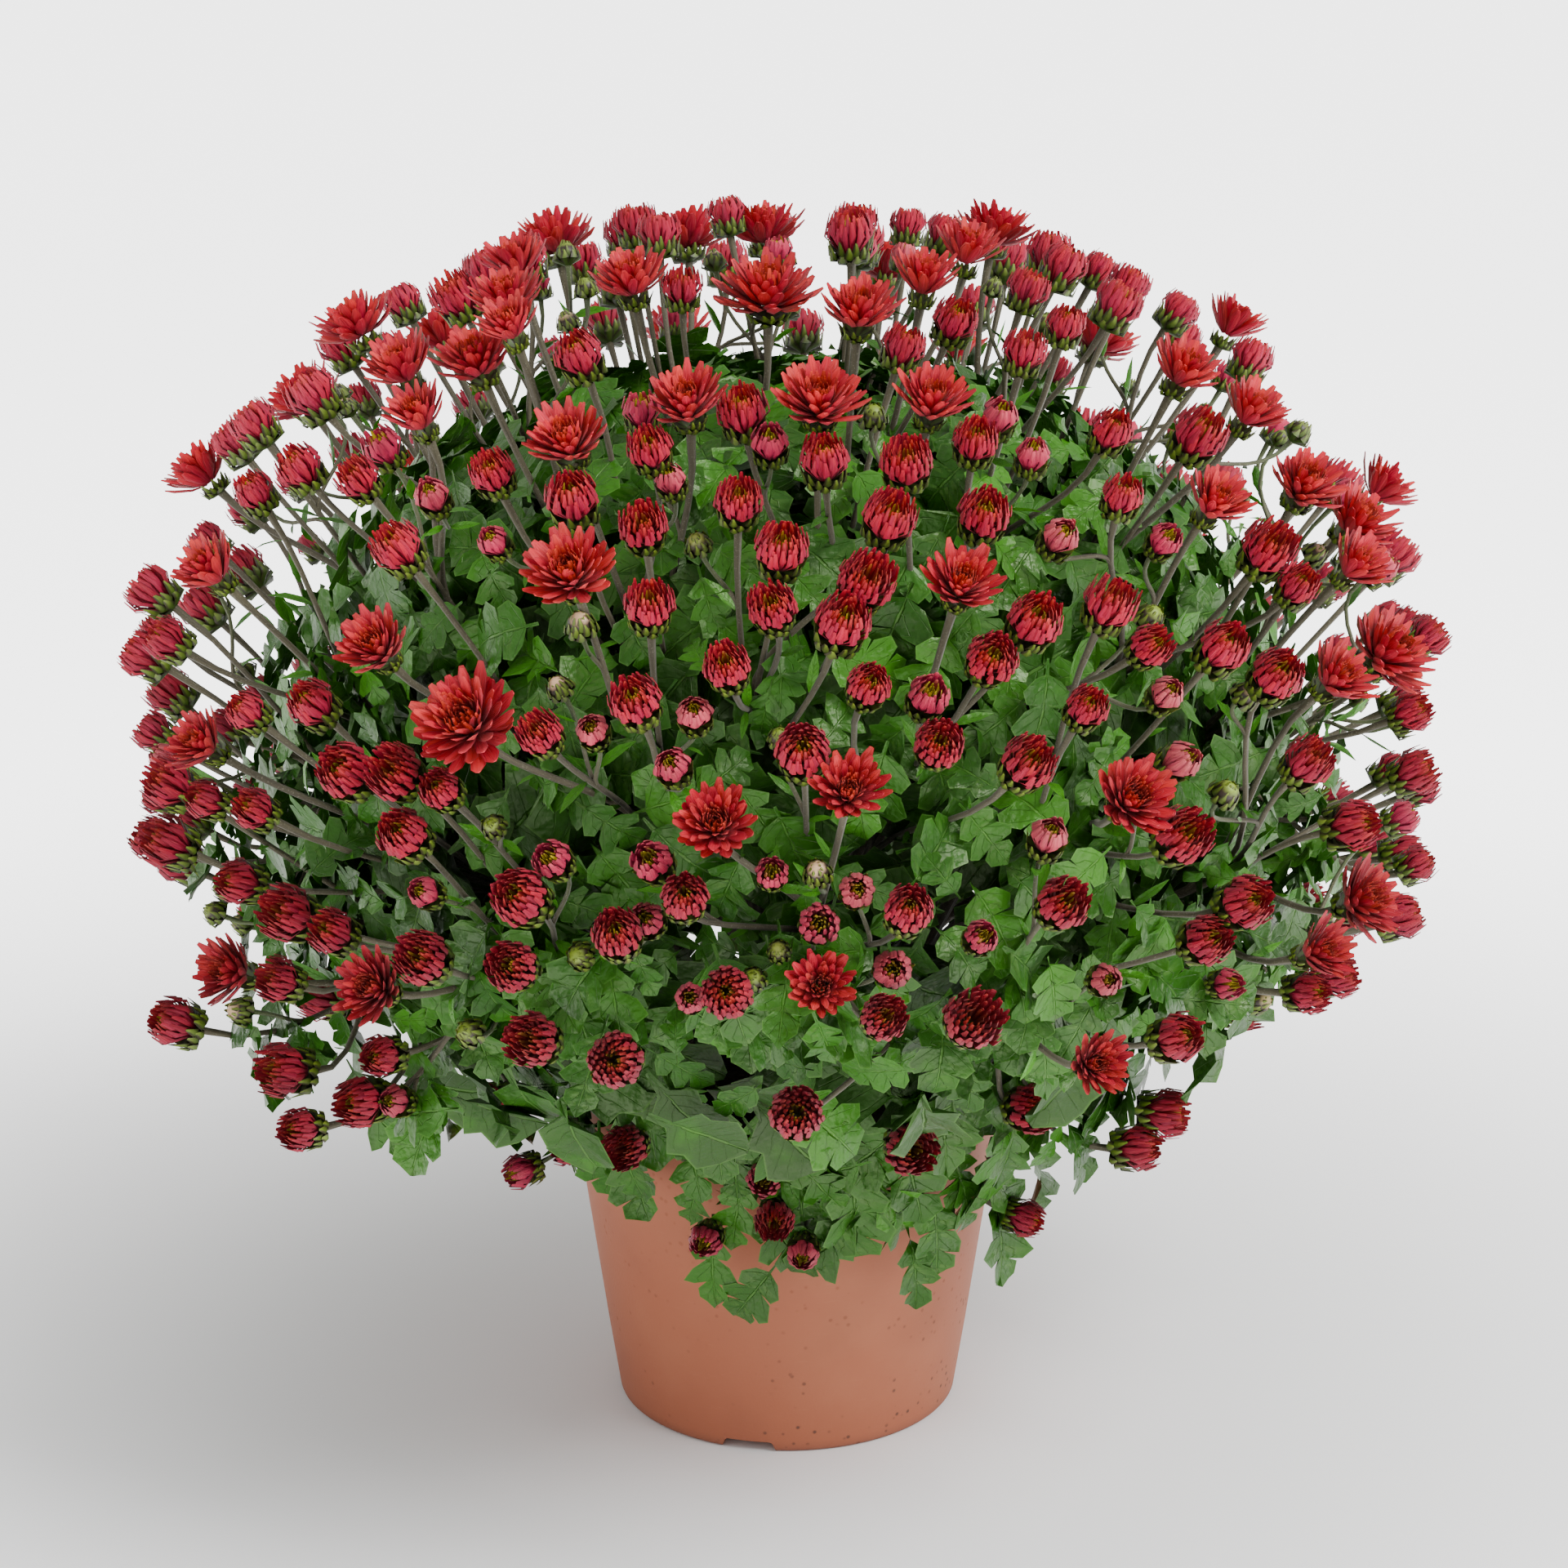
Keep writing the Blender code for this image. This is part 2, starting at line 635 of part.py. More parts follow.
def leaf_fits(tests, shoot, heads, taken):
    """Whether a leaf stays in its own shoot and clear of the pot, of every head and of other leaves."""
    if len(tests) < LEAF_SHOWING:
        return False
    for point in tests:
        owner, margin = shoot_at(point)
        if owner != shoot or margin < BORDER:
            return False
        if not clear_of_pot(point, LEAF_CLEAR):
            return False
    near = [head for head in heads if (head.middle - tests[0]).length < head.radius + LEAF_LENGTH]
    for head in near:
        if any((head.middle - point).length < head.radius + LEAF_CLEAR for point in tests):
            return False
    for other in taken:
        if (other[0] - tests[0]).length > LEAF_LENGTH:
            continue
        if any((point - place).length < LEAF_APART for point in tests for place in other):
            return False
    return True


def leaf_skin(outline, middle, face):
    """A leaf as a thin lens: its outline, with the middle raised on one side and lowered on the other."""
    skin = Skin()
    around = skin.add(outline)
    over, under = skin.add([middle + face * LEAF_THICKNESS / 2, middle - face * LEAF_THICKNESS / 2])
    skin.fan(around, over)
    skin.fan(list(reversed(around)), under)
    return skin


def lay_out_leaves(heads, cores, rng):
    """(shoot, outline, middle, face) of every leaf: all round on the core, and hanging at its lower edge."""
    starts = []
    for azimuth, polar in spread(LEAVES, LEAF_LAST_POLAR):
        out = heading(azimuth, polar)
        starts.append((DOME_CENTRE + out * (core_reach(polar) - LEAF_SUNK), out, azimuth, polar))
    for index in range(SKIRT_LEAVES):
        azimuth = 360 / SKIRT_LEAVES * (index + rng.uniform(-SKIRT_JITTER, SKIRT_JITTER))
        across, height = SKIRT_RINGS[index % len(SKIRT_RINGS)]
        out = heading(azimuth, SKIRT_FACING)
        starts.append((upright(azimuth, across, height), out, azimuth, SKIRT_FACING))
    leaves, taken = [], []
    for root, out, azimuth, polar in starts:
        shoot = shoot_at(root)[0]
        root = cores[shoot].sunk(root, LEAF_SUNK)
        slope = heading(azimuth, polar + 90)
        level = out.cross(slope)
        low = smooth((polar - LEAF_TURN_START) / (LEAF_TURN_END - LEAF_TURN_START))
        turn = rng.uniform(-LEAF_TURN, LEAF_TURN) * (1 + (LEAF_TURN_LOW - 1) * low)
        tilt = math.radians(rng.uniform(*LEAF_TILTS))
        if polar >= SKIRT_FACING:
            tilt = math.radians(rng.uniform(*SKIRT_TILTS))
        for attempt in range(LEAF_TRIES):
            a = math.radians(turn + attempt * 360 / LEAF_TRIES * (1 if attempt % 2 else -1))
            flat = slope * math.cos(a) + level * math.sin(a)
            along = (flat * math.cos(tilt) + out * math.sin(tilt)).normalized()
            length = LEAF_LENGTH * rng.uniform(*LEAF_SIZES)
            outline, middle, face = leaf_points(root, along, out, length)
            tests = leaf_tests(outline, middle, cores[shoot])
            if leaf_fits(tests, shoot, heads, taken):
                leaves.append((shoot, outline, middle, face))
                taken.append(tests)
                break
    return leaves


def outer_core_skin(number, rng):
    """The faceted core of an outer shoot: a wedge between the borders, under the leaves."""
    skin = Skin()
    facing = (number - 1) * 360 / OUTER_SHOOTS
    columns = []
    for step in range(CORE_STEPS + 1):
        column = []
        for polar in CORE_POLARS:
            reach = core_reach(polar) + rng.uniform(-CORE_BUMP, CORE_BUMP)
            way = heading(0.0, polar)
            column.append((reach * math.hypot(way.x, way.y), DOME_CENTRE.z + reach * way.z))
        column += CORE_FOOT
        points = []
        for across, height in column:
            half = 180 / OUTER_SHOOTS - math.degrees(math.asin(CORE_BORDER / across))
            points.append(upright(facing + half * (2 * step / CORE_STEPS - 1), across, height))
        columns.append(skin.add(points))
    for step in range(CORE_STEPS):
        skin.join(columns[step], columns[step + 1])
    skin.cap(columns[0])
    skin.cap(columns[-1])
    return skin


def centre_core_skin(rng):
    """The faceted core of the centre shoot: a cone that flares up to the canopy."""
    skin = Skin()
    rings = [ring(UP * height, UP, across, CENTRE_SIDES) for across, height in CENTRE_FOOT]
    for polar in CENTRE_POLARS:
        reach = core_reach(polar) + rng.uniform(-CORE_BUMP, 0.0)
        way = heading(0.0, polar) * reach
        rings.append(ring(DOME_CENTRE + UP * way.z, UP, -way.y, CENTRE_SIDES))
    numbers = [skin.add(points) for points in rings]
    skin.cap(numbers[0])
    for low, high in zip(numbers, numbers[1:]):
        skin.join(low, high)
    skin.fan(numbers[-1], skin.add([DOME_CENTRE + UP * core_reach(0.0)])[0])
    return skin


def stem_places():
    """(azimuth, distance from the axis) of each shoot's stem: the centre one, then the outer ones."""
    places = [(0.0, 0.0)]
    for number in range(OUTER_SHOOTS):
        places.append((number * 360 / OUTER_SHOOTS, OUTER_STEM_RING))
    return places


def stem_skin(azimuth, across):
    """A shoot's main stem: upright in its soil hole, then leaning out into the core."""
    skin = Skin()
    lean = STEM_LEAN if across else 0.0
    path = (
        upright(azimuth, across, SOIL_TOP - STEM_HOLE_DEPTH + GAP),
        upright(azimuth, across, SOIL_TOP + SOIL_CROWN),
        upright(azimuth, across + lean, STEM_TOP),
    )
    rings = [skin.add(ring(point, UP, STEM_RADIUS, STEM_SIDES)) for point in path]
    skin.cap(rings[0])
    skin.join(rings[0], rings[1])
    skin.join(rings[1], rings[2])
    skin.cap(rings[2])
    return skin


def keep_main_body(mesh):
    """Drop loose scraps and the walls of sealed hollows: only the largest shell of joined faces stays."""
    bm = bmesh.new()
    bm.from_mesh(mesh)
    bmesh.ops.triangulate(bm, faces=bm.faces)
    left, largest = set(bm.faces), set()
    while left:
        shell, to_do = set(), [left.pop()]
        while to_do:
            face = to_do.pop()
            shell.add(face)
            for edge in face.edges:
                for other in edge.link_faces:
                    if other in left:
                        left.remove(other)
                        to_do.append(other)
        if len(shell) > len(largest):
            largest = shell
    bmesh.ops.delete(bm, geom=[face for face in bm.faces if face not in largest], context="FACES")
    bm.to_mesh(mesh)
    bm.free()


def fuse(name, skins, surface):
    """One body from a main skin and all that grows from it, by one Boolean union on a collection."""
    body = add_object(name, skins[0].mesh(name), surface)
    operands = bpy.data.collections.new(name + "_repeats")
    bpy.context.scene.collection.children.link(operands)
    for index, skin in enumerate(skins[1:]):
        add_object("repeat_%03d" % index, skin.mesh("repeat"), None, operands)
    union = body.modifiers.new("Union", "BOOLEAN")
    union.operation = "UNION"
    union.operand_type = "COLLECTION"
    union.collection = operands
    union.solver = UNION_SOLVER
    bpy.context.view_layer.update()
    graph = bpy.context.evaluated_depsgraph_get()
    fused = bpy.data.meshes.new_from_object(body.evaluated_get(graph))
    body.modifiers.clear()
    body.data = fused
    for operand in list(operands.objects):
        bpy.data.objects.remove(operand)
    bpy.data.collections.remove(operands)
    keep_main_body(fused)
    return body


def turned(name, profile, surface):
    """A closed body turned round the pot's axis from a profile of (radius, height) whose ends lie on it."""
    skin = Skin()
    rings = []
    for across, height in profile[1:-1]:
        rings.append(skin.add(ring(UP * height, UP, across, POT_SIDES)))
    for low, high in zip(rings, rings[1:]):
        skin.join(low, high)
    skin.fan(rings[0], skin.add([UP * profile[0][1]])[0])
    skin.fan(rings[-1], skin.add([UP * profile[-1][1]])[0])
    return add_object(name, skin.mesh(name), surface)


def cut(body, name, skins):
    """Cut a body with one hidden cutter made of separate closed shapes."""
    joined = Skin()
    for skin in skins:
        start = len(joined.points)
        joined.points += skin.points
        joined.faces += [tuple(start + number for number in face) for face in skin.faces]
    cutter = add_object(name, joined.mesh(name))
    cutter.hide_render = True
    cutter.display_type = "WIRE"
    modifier = body.modifiers.new(name, "BOOLEAN")
    modifier.operation = "DIFFERENCE"
    modifier.object = cutter
    modifier.solver = "EXACT"


def prism_skin(low, high):
    """A closed prism between two rings."""
    skin = Skin()
    bottom, top = skin.add(low), skin.add(high)
    skin.cap(bottom)
    skin.join(bottom, top)
    skin.cap(top)
    return skin


def wall_radius(height):
    """The pot's outer radius below its rim band."""
    below = POT_TOP_RADIUS - POT_RIM_STEP - POT_FOOT_RADIUS
    return POT_FOOT_RADIUS + below * height / (POT_HEIGHT - POT_RIM_HEIGHT)


def make_pot():
    """The moulded pot: tapered wall, rim band, rounded foot, raised floor, drain notches and drain holes."""
    rim_foot = POT_HEIGHT - POT_RIM_HEIGHT
    profile = (
        (0.0, POT_FLOOR_UNDER),
        (POT_FOOT_INNER, POT_FLOOR_UNDER),
        (POT_FOOT_INNER, 0.0),
        (POT_FOOT_RADIUS - POT_FOOT_BEVEL, 0.0),
        (POT_FOOT_RADIUS - POT_FOOT_BEVEL * POT_FOOT_ROUND, POT_FOOT_BEVEL * POT_FOOT_ROUND),
        (wall_radius(POT_FOOT_BEVEL), POT_FOOT_BEVEL),
        (wall_radius(rim_foot), rim_foot),
        (wall_radius(rim_foot) + POT_RIM_STEP, rim_foot + POT_RIM_STEP * POT_RIM_SLOPE),
        (POT_TOP_RADIUS, POT_HEIGHT),
        (POT_TOP_RADIUS - POT_WALL - POT_RIM_STEP, POT_HEIGHT),
        (wall_radius(POT_FLOOR_TOP) - POT_WALL, POT_FLOOR_TOP),
        (0.0, POT_FLOOR_TOP),
    )
    pot = turned("pot", profile, material("terracotta_plastic", PLASTIC_COLOUR, PLASTIC_ROUGHNESS))
    notches, holes = [], []
    for number in range(DRAIN_NOTCHES):
        azimuth = DRAIN_NOTCH_TURN + number * 360 / DRAIN_NOTCHES
        out, level = heading(azimuth, 90), heading(azimuth + 90, 90)
        section = []
        for side, height in DRAIN_NOTCH_OUTLINE:
            section.append(level * side * DRAIN_NOTCH_WIDTH / 2 + UP * height * DRAIN_NOTCH_HEIGHT)
        low = [point + out * DRAIN_NOTCH_IN for point in section]
        high = [point + out * POT_TOP_RADIUS for point in section]
        notches.append(prism_skin(low, high))
    for number in range(DRAIN_HOLES):
        azimuth = DRAIN_HOLE_TURN + number * 360 / DRAIN_HOLES
        low = ring(upright(azimuth, DRAIN_HOLE_RING, 0.0), UP, DRAIN_HOLE_RADIUS, HOLE_SIDES)
        high = ring(upright(azimuth, DRAIN_HOLE_RING, DRAIN_HOLE_TOP), UP, DRAIN_HOLE_RADIUS, HOLE_SIDES)
        holes.append(prism_skin(low, high))
    cut(pot, "notch_cutter", notches)
    cut(pot, "drain_cutter", holes)


def make_soil():
    """The potting soil, filling the pot to near its rim, with a plain hole for each stem."""
    rng = random.Random(SEED)
    floor = POT_FLOOR_TOP + GAP

    def wall(height):
        slope = (POT_TOP_RADIUS - POT_RIM_STEP - wall_radius(POT_FLOOR_TOP)) / (POT_HEIGHT - POT_FLOOR_TOP)
        return wall_radius(POT_FLOOR_TOP) - POT_WALL - GAP + slope * (height - POT_FLOOR_TOP)

    profile = (
        (0.0, floor),
        (wall(floor), floor),
        (wall(SOIL_TOP), SOIL_TOP),
        (wall(SOIL_TOP) * SOIL_MIDDLE, SOIL_TOP + SOIL_CROWN * SOIL_MIDDLE_RISE),
        (0.0, SOIL_TOP + SOIL_CROWN),
    )
    soil = turned("soil", profile, material("potting_soil", SOIL_COLOUR, SOIL_ROUGHNESS))
    for vertex in soil.data.vertices:
        across = math.hypot(vertex.co.x, vertex.co.y)
        if vertex.co.z > SOIL_TOP and across > OUTER_STEM_RING:
            vertex.co.z += rng.uniform(-SOIL_BUMP, SOIL_BUMP)
    holes = []
    for azimuth, across in stem_places():
        low = ring(upright(azimuth, across, SOIL_TOP - STEM_HOLE_DEPTH), UP, STEM_RADIUS + GAP, STEM_SIDES)
        high = ring(upright(azimuth, across, SOIL_TOP + STEM_HOLE_RISE), UP, STEM_RADIUS + GAP, STEM_SIDES)
        holes.append(prism_skin(low, high))
    cut(soil, "stem_hole_cutter", holes)


def make_shoots(heads, core_skins, cores):
    """Seven leafy shoots, each one body with its stem, leaves, stalks, cups, buds and calyces."""
    rng = random.Random(SEED)
    leaves = lay_out_leaves(heads, cores, rng)
    surface = material("leafy_shoot", FOLIAGE_COLOUR, FOLIAGE_ROUGHNESS)
    for number, (azimuth, across) in enumerate(stem_places()):
        skins = [core_skins[number], stem_skin(azimuth, across)]
        skins += [leaf_skin(*leaf[1:]) for leaf in leaves if leaf[0] == number]
        for head in heads:
            if head.shoot != number:
                continue
            if head.stage == "open":
                skins.append(calyx_skin(head))
            elif head.stage == "cup":
                skins.append(cup_skin(head, rng))
            else:
                skins.append(bud_skin(head))
        fuse(SHOOT_NAMES[number], skins, surface)


def make_blooms(heads):
    """Each open bloom as a body of its own on its calyx."""
    rng = random.Random(SEED)
    surface = material("red_petals", PETAL_COLOUR, PETAL_ROUGHNESS)
    blooms = [head for head in heads if head.stage == "open"]
    for number, head in enumerate(blooms, 1):
        name = "bloom_%02d" % number
        add_object(name, bloom_skin(head, rng).mesh(name), surface)


def main():
    """Build the whole potted plant in an emptied scene."""
    for existing in list(bpy.data.objects):
        bpy.data.objects.remove(existing)
    rng = random.Random(SEED)
    core_skins = [centre_core_skin(rng)]
    core_skins += [outer_core_skin(number + 1, rng) for number in range(OUTER_SHOOTS)]
    cores = [Core(skin) for skin in core_skins]
    heads = lay_out_heads(cores)
    make_pot()
    make_soil()
    make_shoots(heads, core_skins, cores)
    make_blooms(heads)


main()
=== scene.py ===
"""Looks of a potted garden chrysanthemum: flower heads in every stage, leaves, stems, soil, pot and stage.

Metres, +Z up. Azimuth 0 is the front (-Y) and 90 degrees is +X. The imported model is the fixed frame.
"""

import math
from functools import cache

import bpy
import numpy as np
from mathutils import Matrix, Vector, noise


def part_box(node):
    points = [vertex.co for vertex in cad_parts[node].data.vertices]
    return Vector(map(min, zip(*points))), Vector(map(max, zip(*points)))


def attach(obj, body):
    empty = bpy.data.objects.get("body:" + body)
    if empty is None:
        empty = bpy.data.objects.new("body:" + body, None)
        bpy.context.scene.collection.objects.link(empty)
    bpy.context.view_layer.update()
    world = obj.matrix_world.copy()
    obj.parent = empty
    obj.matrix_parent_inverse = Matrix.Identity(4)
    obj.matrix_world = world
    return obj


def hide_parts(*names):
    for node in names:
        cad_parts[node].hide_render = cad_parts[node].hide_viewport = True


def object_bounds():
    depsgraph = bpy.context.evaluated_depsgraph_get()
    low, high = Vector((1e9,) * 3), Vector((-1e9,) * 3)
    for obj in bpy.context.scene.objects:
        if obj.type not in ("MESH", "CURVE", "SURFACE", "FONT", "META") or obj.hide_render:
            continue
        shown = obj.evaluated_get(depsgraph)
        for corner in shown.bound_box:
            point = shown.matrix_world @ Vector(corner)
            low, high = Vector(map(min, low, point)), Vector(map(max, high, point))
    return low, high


bl_info = {
    "name": "Potted garden chrysanthemum",
    "version": (1, 0, 0),
    "blender": (4, 5, 0),
    "location": "3D View > Sidebar > Chrysanthemum",
    "description": "Flower heads, leaves, stems, soil, pot and stage of a potted garden chrysanthemum",
    "category": "Add Mesh",
}

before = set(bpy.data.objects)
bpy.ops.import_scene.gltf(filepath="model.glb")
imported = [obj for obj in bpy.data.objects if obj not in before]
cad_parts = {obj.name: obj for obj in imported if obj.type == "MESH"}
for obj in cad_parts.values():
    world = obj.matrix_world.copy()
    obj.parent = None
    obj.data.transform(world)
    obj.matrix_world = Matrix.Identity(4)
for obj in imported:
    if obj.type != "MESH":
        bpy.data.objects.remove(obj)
CAD_LOW, CAD_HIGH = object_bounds()
UP = Vector((0.0, 0.0, 1.0))
SEED = 11

# The plant's form, as in the part's source: everything radiates from the crown to a dome of flower heads
DOME_CENTRE = Vector((0.0, 0.0, 0.300))
DOME_TOP = 0.212
DOME_SIDE = 0.278
DOME_SKIRT_START = 102.0
DOME_SKIRT_END = 124.0
DOME_SKIRT_DROP = 0.058
STALKS_FROM = Vector((0.0, 0.0, 0.125))
CANOPY_DROP_TOP = 0.078
CANOPY_DROP_SKIRT = 0.036
CANOPY_RISES_FROM, CANOPY_RISES_OVER = 70, 50
GOLDEN_ANGLE = 137.508
OUTER_SHOOTS = 6
OUTER_STEM_RING = 0.034
CENTRE_SHOOT_RADIUS = 0.018
CENTRE_SHOOT_FLARE = 0.39
SHOOT_NAMES = (
    "leafy_shoot_centre", "leafy_shoot_front", "leafy_shoot_front_right", "leafy_shoot_back_right",
    "leafy_shoot_back", "leafy_shoot_back_left", "leafy_shoot_front_left",
)

# Where the camera stands, and at which pixels of the photograph's frame the heads are seen, read one by one
CAMERA = Vector((0.0, -1.5344, 0.7319))
CAMERA_TILT = 16.76
PIXELS_PER_RADIAN = 4722.0
PIXELS = 1920
MIDDLE_X, MIDDLE_Y = 964.0, 960.0
SENSOR = 36.0
CUP_HEADS = (
    (380, 480), (285, 538), (365, 570), (310, 600), (437, 585), (557, 360), (778, 272), (708, 432),
    (835, 350), (890, 270), (1040, 283), (975, 350), (1110, 405), (1170, 390), (1260, 352), (1370, 370),
    (1255, 428), (1305, 395), (1195, 538), (1362, 525), (1375, 605), (1205, 628), (1555, 670),
    (1470, 530), (602, 577), (700, 608), (795, 548), (907, 485), (905, 612), (1010, 545), (1110, 565),
    (1090, 632), (787, 643), (957, 670), (485, 668), (183, 722), (203, 782), (165, 800), (380, 860),
    (300, 870), (420, 943), (482, 945), (205, 958), (250, 978), (310, 990), (660, 897), (795, 740),
    (945, 742), (1062, 710), (1033, 760), (890, 815), (777, 857), (1065, 838), (1215, 805), (1360, 738),
    (1268, 758), (1410, 790), (1500, 790), (1332, 865), (1565, 825), (1590, 715), (983, 918),
    (1150, 910), (1260, 933), (1603, 932), (1660, 1010), (1735, 945), (1730, 870), (492, 1020),
    (538, 965), (635, 1097), (290, 1080), (350, 1118), (405, 1140), (340, 1200), (515, 1172),
    (625, 1183), (755, 1142), (838, 1097), (1113, 1112), (1303, 1105), (1450, 1022), (1480, 1150),
    (1515, 1110), (1193, 1247), (1083, 1245), (890, 1215), (650, 1273), (753, 1298), (465, 1293),
    (345, 1310), (438, 1350), (365, 1383), (597, 1350), (210, 1250), (203, 1030), (765, 1405),
    (975, 1363), (1117, 1407), (1265, 1358), (1445, 1270), (1430, 1363), (1397, 1405), (1257, 1492),
    (948, 1495), (1605, 1215),
)
SMALL_BLOOMS = ((635, 430), (1600, 590), (1133, 340), (620, 360))
YOUNG_HEADS = (
    (422, 495), (467, 545), (693, 305), (693, 390), (785, 500), (1070, 505), (943, 540), (820, 585),
    (528, 605), (603, 662), (853, 662), (1300, 655), (1428, 660), (1615, 675), (1412, 752), (1430, 848),
    (1530, 848), (1595, 525), (1265, 555), (1225, 508), (1505, 967), (1720, 1000), (602, 1010), (675, 1052),
    (518, 1092), (258, 1115), (288, 1237), (570, 1263), (707, 1170), (953, 1163), (1000, 1065), (1050, 1090),
    (1202, 1147), (1355, 1200), (482, 1348), (690, 1408), (635, 1435), (935, 1445), (863, 1520), (983, 1537),
    (1548, 1225), (1505, 1205), (822, 937), (850, 872), (725, 893), (955, 900), (797, 1053), (945, 1068),
    (787, 1120), (1003, 1131), (845, 1222), (922, 1197), (710, 760), (682, 838), (1285, 1022), (1448, 930),
    (1138, 850), (1093, 1187),
)

# Flower heads: how deep their middles lie under the dome, and how far apart those placed by rule stand
HEAD_DEPTHS = {"bloom": 0.006, "cup": 0.012, "opening": 0.022, "bud": 0.028}
HEAD_MIDDLES = {"bloom": 0.42, "cup": 0.9, "opening": 0.95, "bud": 0.9}
HEAD_REACH = {"bloom": 0.98, "cup": 1.2, "opening": 1.1, "bud": 1.1}
HEAD_SIZES = (0.84, 1.14)
HEAD_LEAN = 0.16
SHUT_RADIUS, OPEN_RADIUS = 0.0115, 0.0205
OPENING_SHARE = 0.5
HEADS_APART = 0.82
HEAD_SHIFTS = (0.0, 0.006, -0.006, 0.012, -0.012, 0.018, -0.018)
RULE_HEADS = 1150
RULE_POLAR = 119.0
RULE_SPACING = (0.029, 0.0315)
RULE_WIDENS_FROM, RULE_WIDENS_OVER = 45, 45
RULE_FACING = 0.10
RULE_KINDS = (("cup", 0.56), ("opening", 0.20), ("bud", 0.24))
SIGHT_START, SIGHT_STEP, SIGHT_STEPS = 1.10, 0.002, 360
POT_FRONT = (715, 1425, 1275)
POT_FRONT_RADIUS = 0.124
CALYX_HEIGHT = 0.0060
CALYX_SHARE = 0.3


def paint(red, green, blue):
    """A linear colour from the numbers 0 to 255 that a colour picker shows."""
    channels = []
    for value in (red, green, blue):
        share = value / 255
        channels.append(share / 12.92 if share <= 0.04045 else ((share + 0.055) / 1.055) ** 2.4)
    return tuple(channels)


def colour_setting(name, description, colour):
    """A colour that a user may change."""
    return bpy.props.FloatVectorProperty(
        name=name, description=description, subtype="COLOR", size=3, min=0, max=1, default=colour,
    )


def length_setting(name, description, default):
    """A length in metres that a user may change."""
    return bpy.props.FloatProperty(
        name=name, description=description, default=default, min=0, unit="LENGTH", precision=4,
    )


def number_setting(name, description, default):
    """A number that a user may change."""
    return bpy.props.FloatProperty(name=name, description=description, default=default, min=0)


class PotSettings(bpy.types.PropertyGroup):
    """The nursery pot and the soil in it."""

    wall: length_setting("Wall", "Thickness of the pot's wall", 0.0022)
    rim_height: length_setting("Rim height", "Height of the band round the pot's rim", 0.016)
    rim_step: length_setting("Rim step", "How far the rim band stands out", 0.0018)
    foot_radius: length_setting("Foot radius", "Radius of the pot's foot", 0.0725)
    foot_bevel: length_setting("Foot bevel", "Rounding of the pot's foot", 0.0025)
    soil_top: length_setting("Soil level", "Height of the soil", 0.130)
    plastic: colour_setting("Plastic", "Colour of the pot", paint(158, 88, 58))
    scuff: colour_setting("Scuffs", "Colour of worn places on the pot", paint(174, 108, 76))
    speck: colour_setting("Specks", "Colour of soil specks on the pot", paint(92, 58, 46))
    soil: colour_setting("Soil", "Colour of the potting soil", paint(44, 32, 24))
    bark: colour_setting("Bark", "Colour of the bark grains in the soil", paint(96, 70, 48))


class FoliageSettings(bpy.types.PropertyGroup):
    """The leaves and the stems."""

    leaf_length: length_setting("Leaf length", "Length of a full-grown leaf with its stalk", 0.044)
    stem_radius: length_setting("Stem radius", "Radius of a flower's stem", 0.00112)
    deep: colour_setting("Deep leaf", "Colour of shaded leaves", paint(34, 66, 18))
    grown: colour_setting("Grown leaf", "Colour of full-grown leaves", paint(29, 78, 5))
    young: colour_setting("Young leaf", "Colour of young leaves", paint(60, 128, 8))
    underside: colour_setting("Underside", "Colour of the leaves' undersides", paint(60, 100, 32))
    vein: colour_setting("Vein", "Colour of the leaves' veins and edges", paint(96, 144, 60))
    stem: colour_setting("Stem", "Colour of the flower stems", paint(78, 72, 52))
    stem_young: colour_setting("Young stem", "Colour of stems near the buds", paint(72, 84, 46))
    stem_old: colour_setting("Woody stem", "Colour of the stems near the soil", paint(56, 42, 32))


class FlowerSettings(bpy.types.PropertyGroup):
    """The flower heads."""

    cup_radius: length_setting("Cup radius", "Radius of a cup of upright petals", 0.0093)
    opening_radius: length_setting("Opening radius", "Radius of a head that begins to open", 0.0072)
    bud_radius: length_setting("Bud radius", "Radius of a green bud", 0.0052)
    small_bloom_radius: length_setting("Small bloom radius", "Radius of a small open bloom", 0.0145)
    red: colour_setting("Red", "Petals' inner faces in an open bloom", paint(188, 12, 40))
    orange: colour_setting("Orange", "Inner petals' faces", paint(204, 62, 22))
    salmon: colour_setting("Salmon", "Streaks and tips on open petals", paint(228, 64, 46))
    crimson: colour_setting("Crimson", "Inner faces in a cup", paint(162, 12, 46))
    dusty: colour_setting("Dusty pink", "Petals' outer faces", paint(172, 24, 74))
    heart: colour_setting("Heart", "The darkest petals in the middle", paint(96, 10, 14))
    rosy: colour_setting("Rosy", "Petals of a head that begins to open", paint(196, 30, 76))
    pale_tip: colour_setting("Pale tip", "Petals that begin to show", paint(216, 122, 112))
    yellow: colour_setting("Yellow", "The hole in the middle of a cup", paint(190, 172, 4))
    bract: colour_setting("Bract", "Bracts of buds and calyces", paint(54, 76, 18))
    bract_tip: colour_setting("Bract tip", "Tips of bracts", paint(116, 138, 34))
    bract_dark: colour_setting("Dark bract", "Margins of bracts", paint(40, 28, 16))
    wool: colour_setting("Wool", "The pale top of a bud", paint(206, 168, 132))


class StageSettings(bpy.types.PropertyGroup):
    """Floor and lights."""

    floor: colour_setting("Floor", "Colour of the floor", (0.92, 0.92, 0.92))
    glow: number_setting("Glow", "How much the floor glows far from the pot", 3.0)
    sky: number_setting("Sky", "Strength of the white surroundings", 0.88)
    key: number_setting("Key", "Power of the main light in watts", 106.0)
    fill: number_setting("Fill", "Power of the fill light in watts", 3.0)


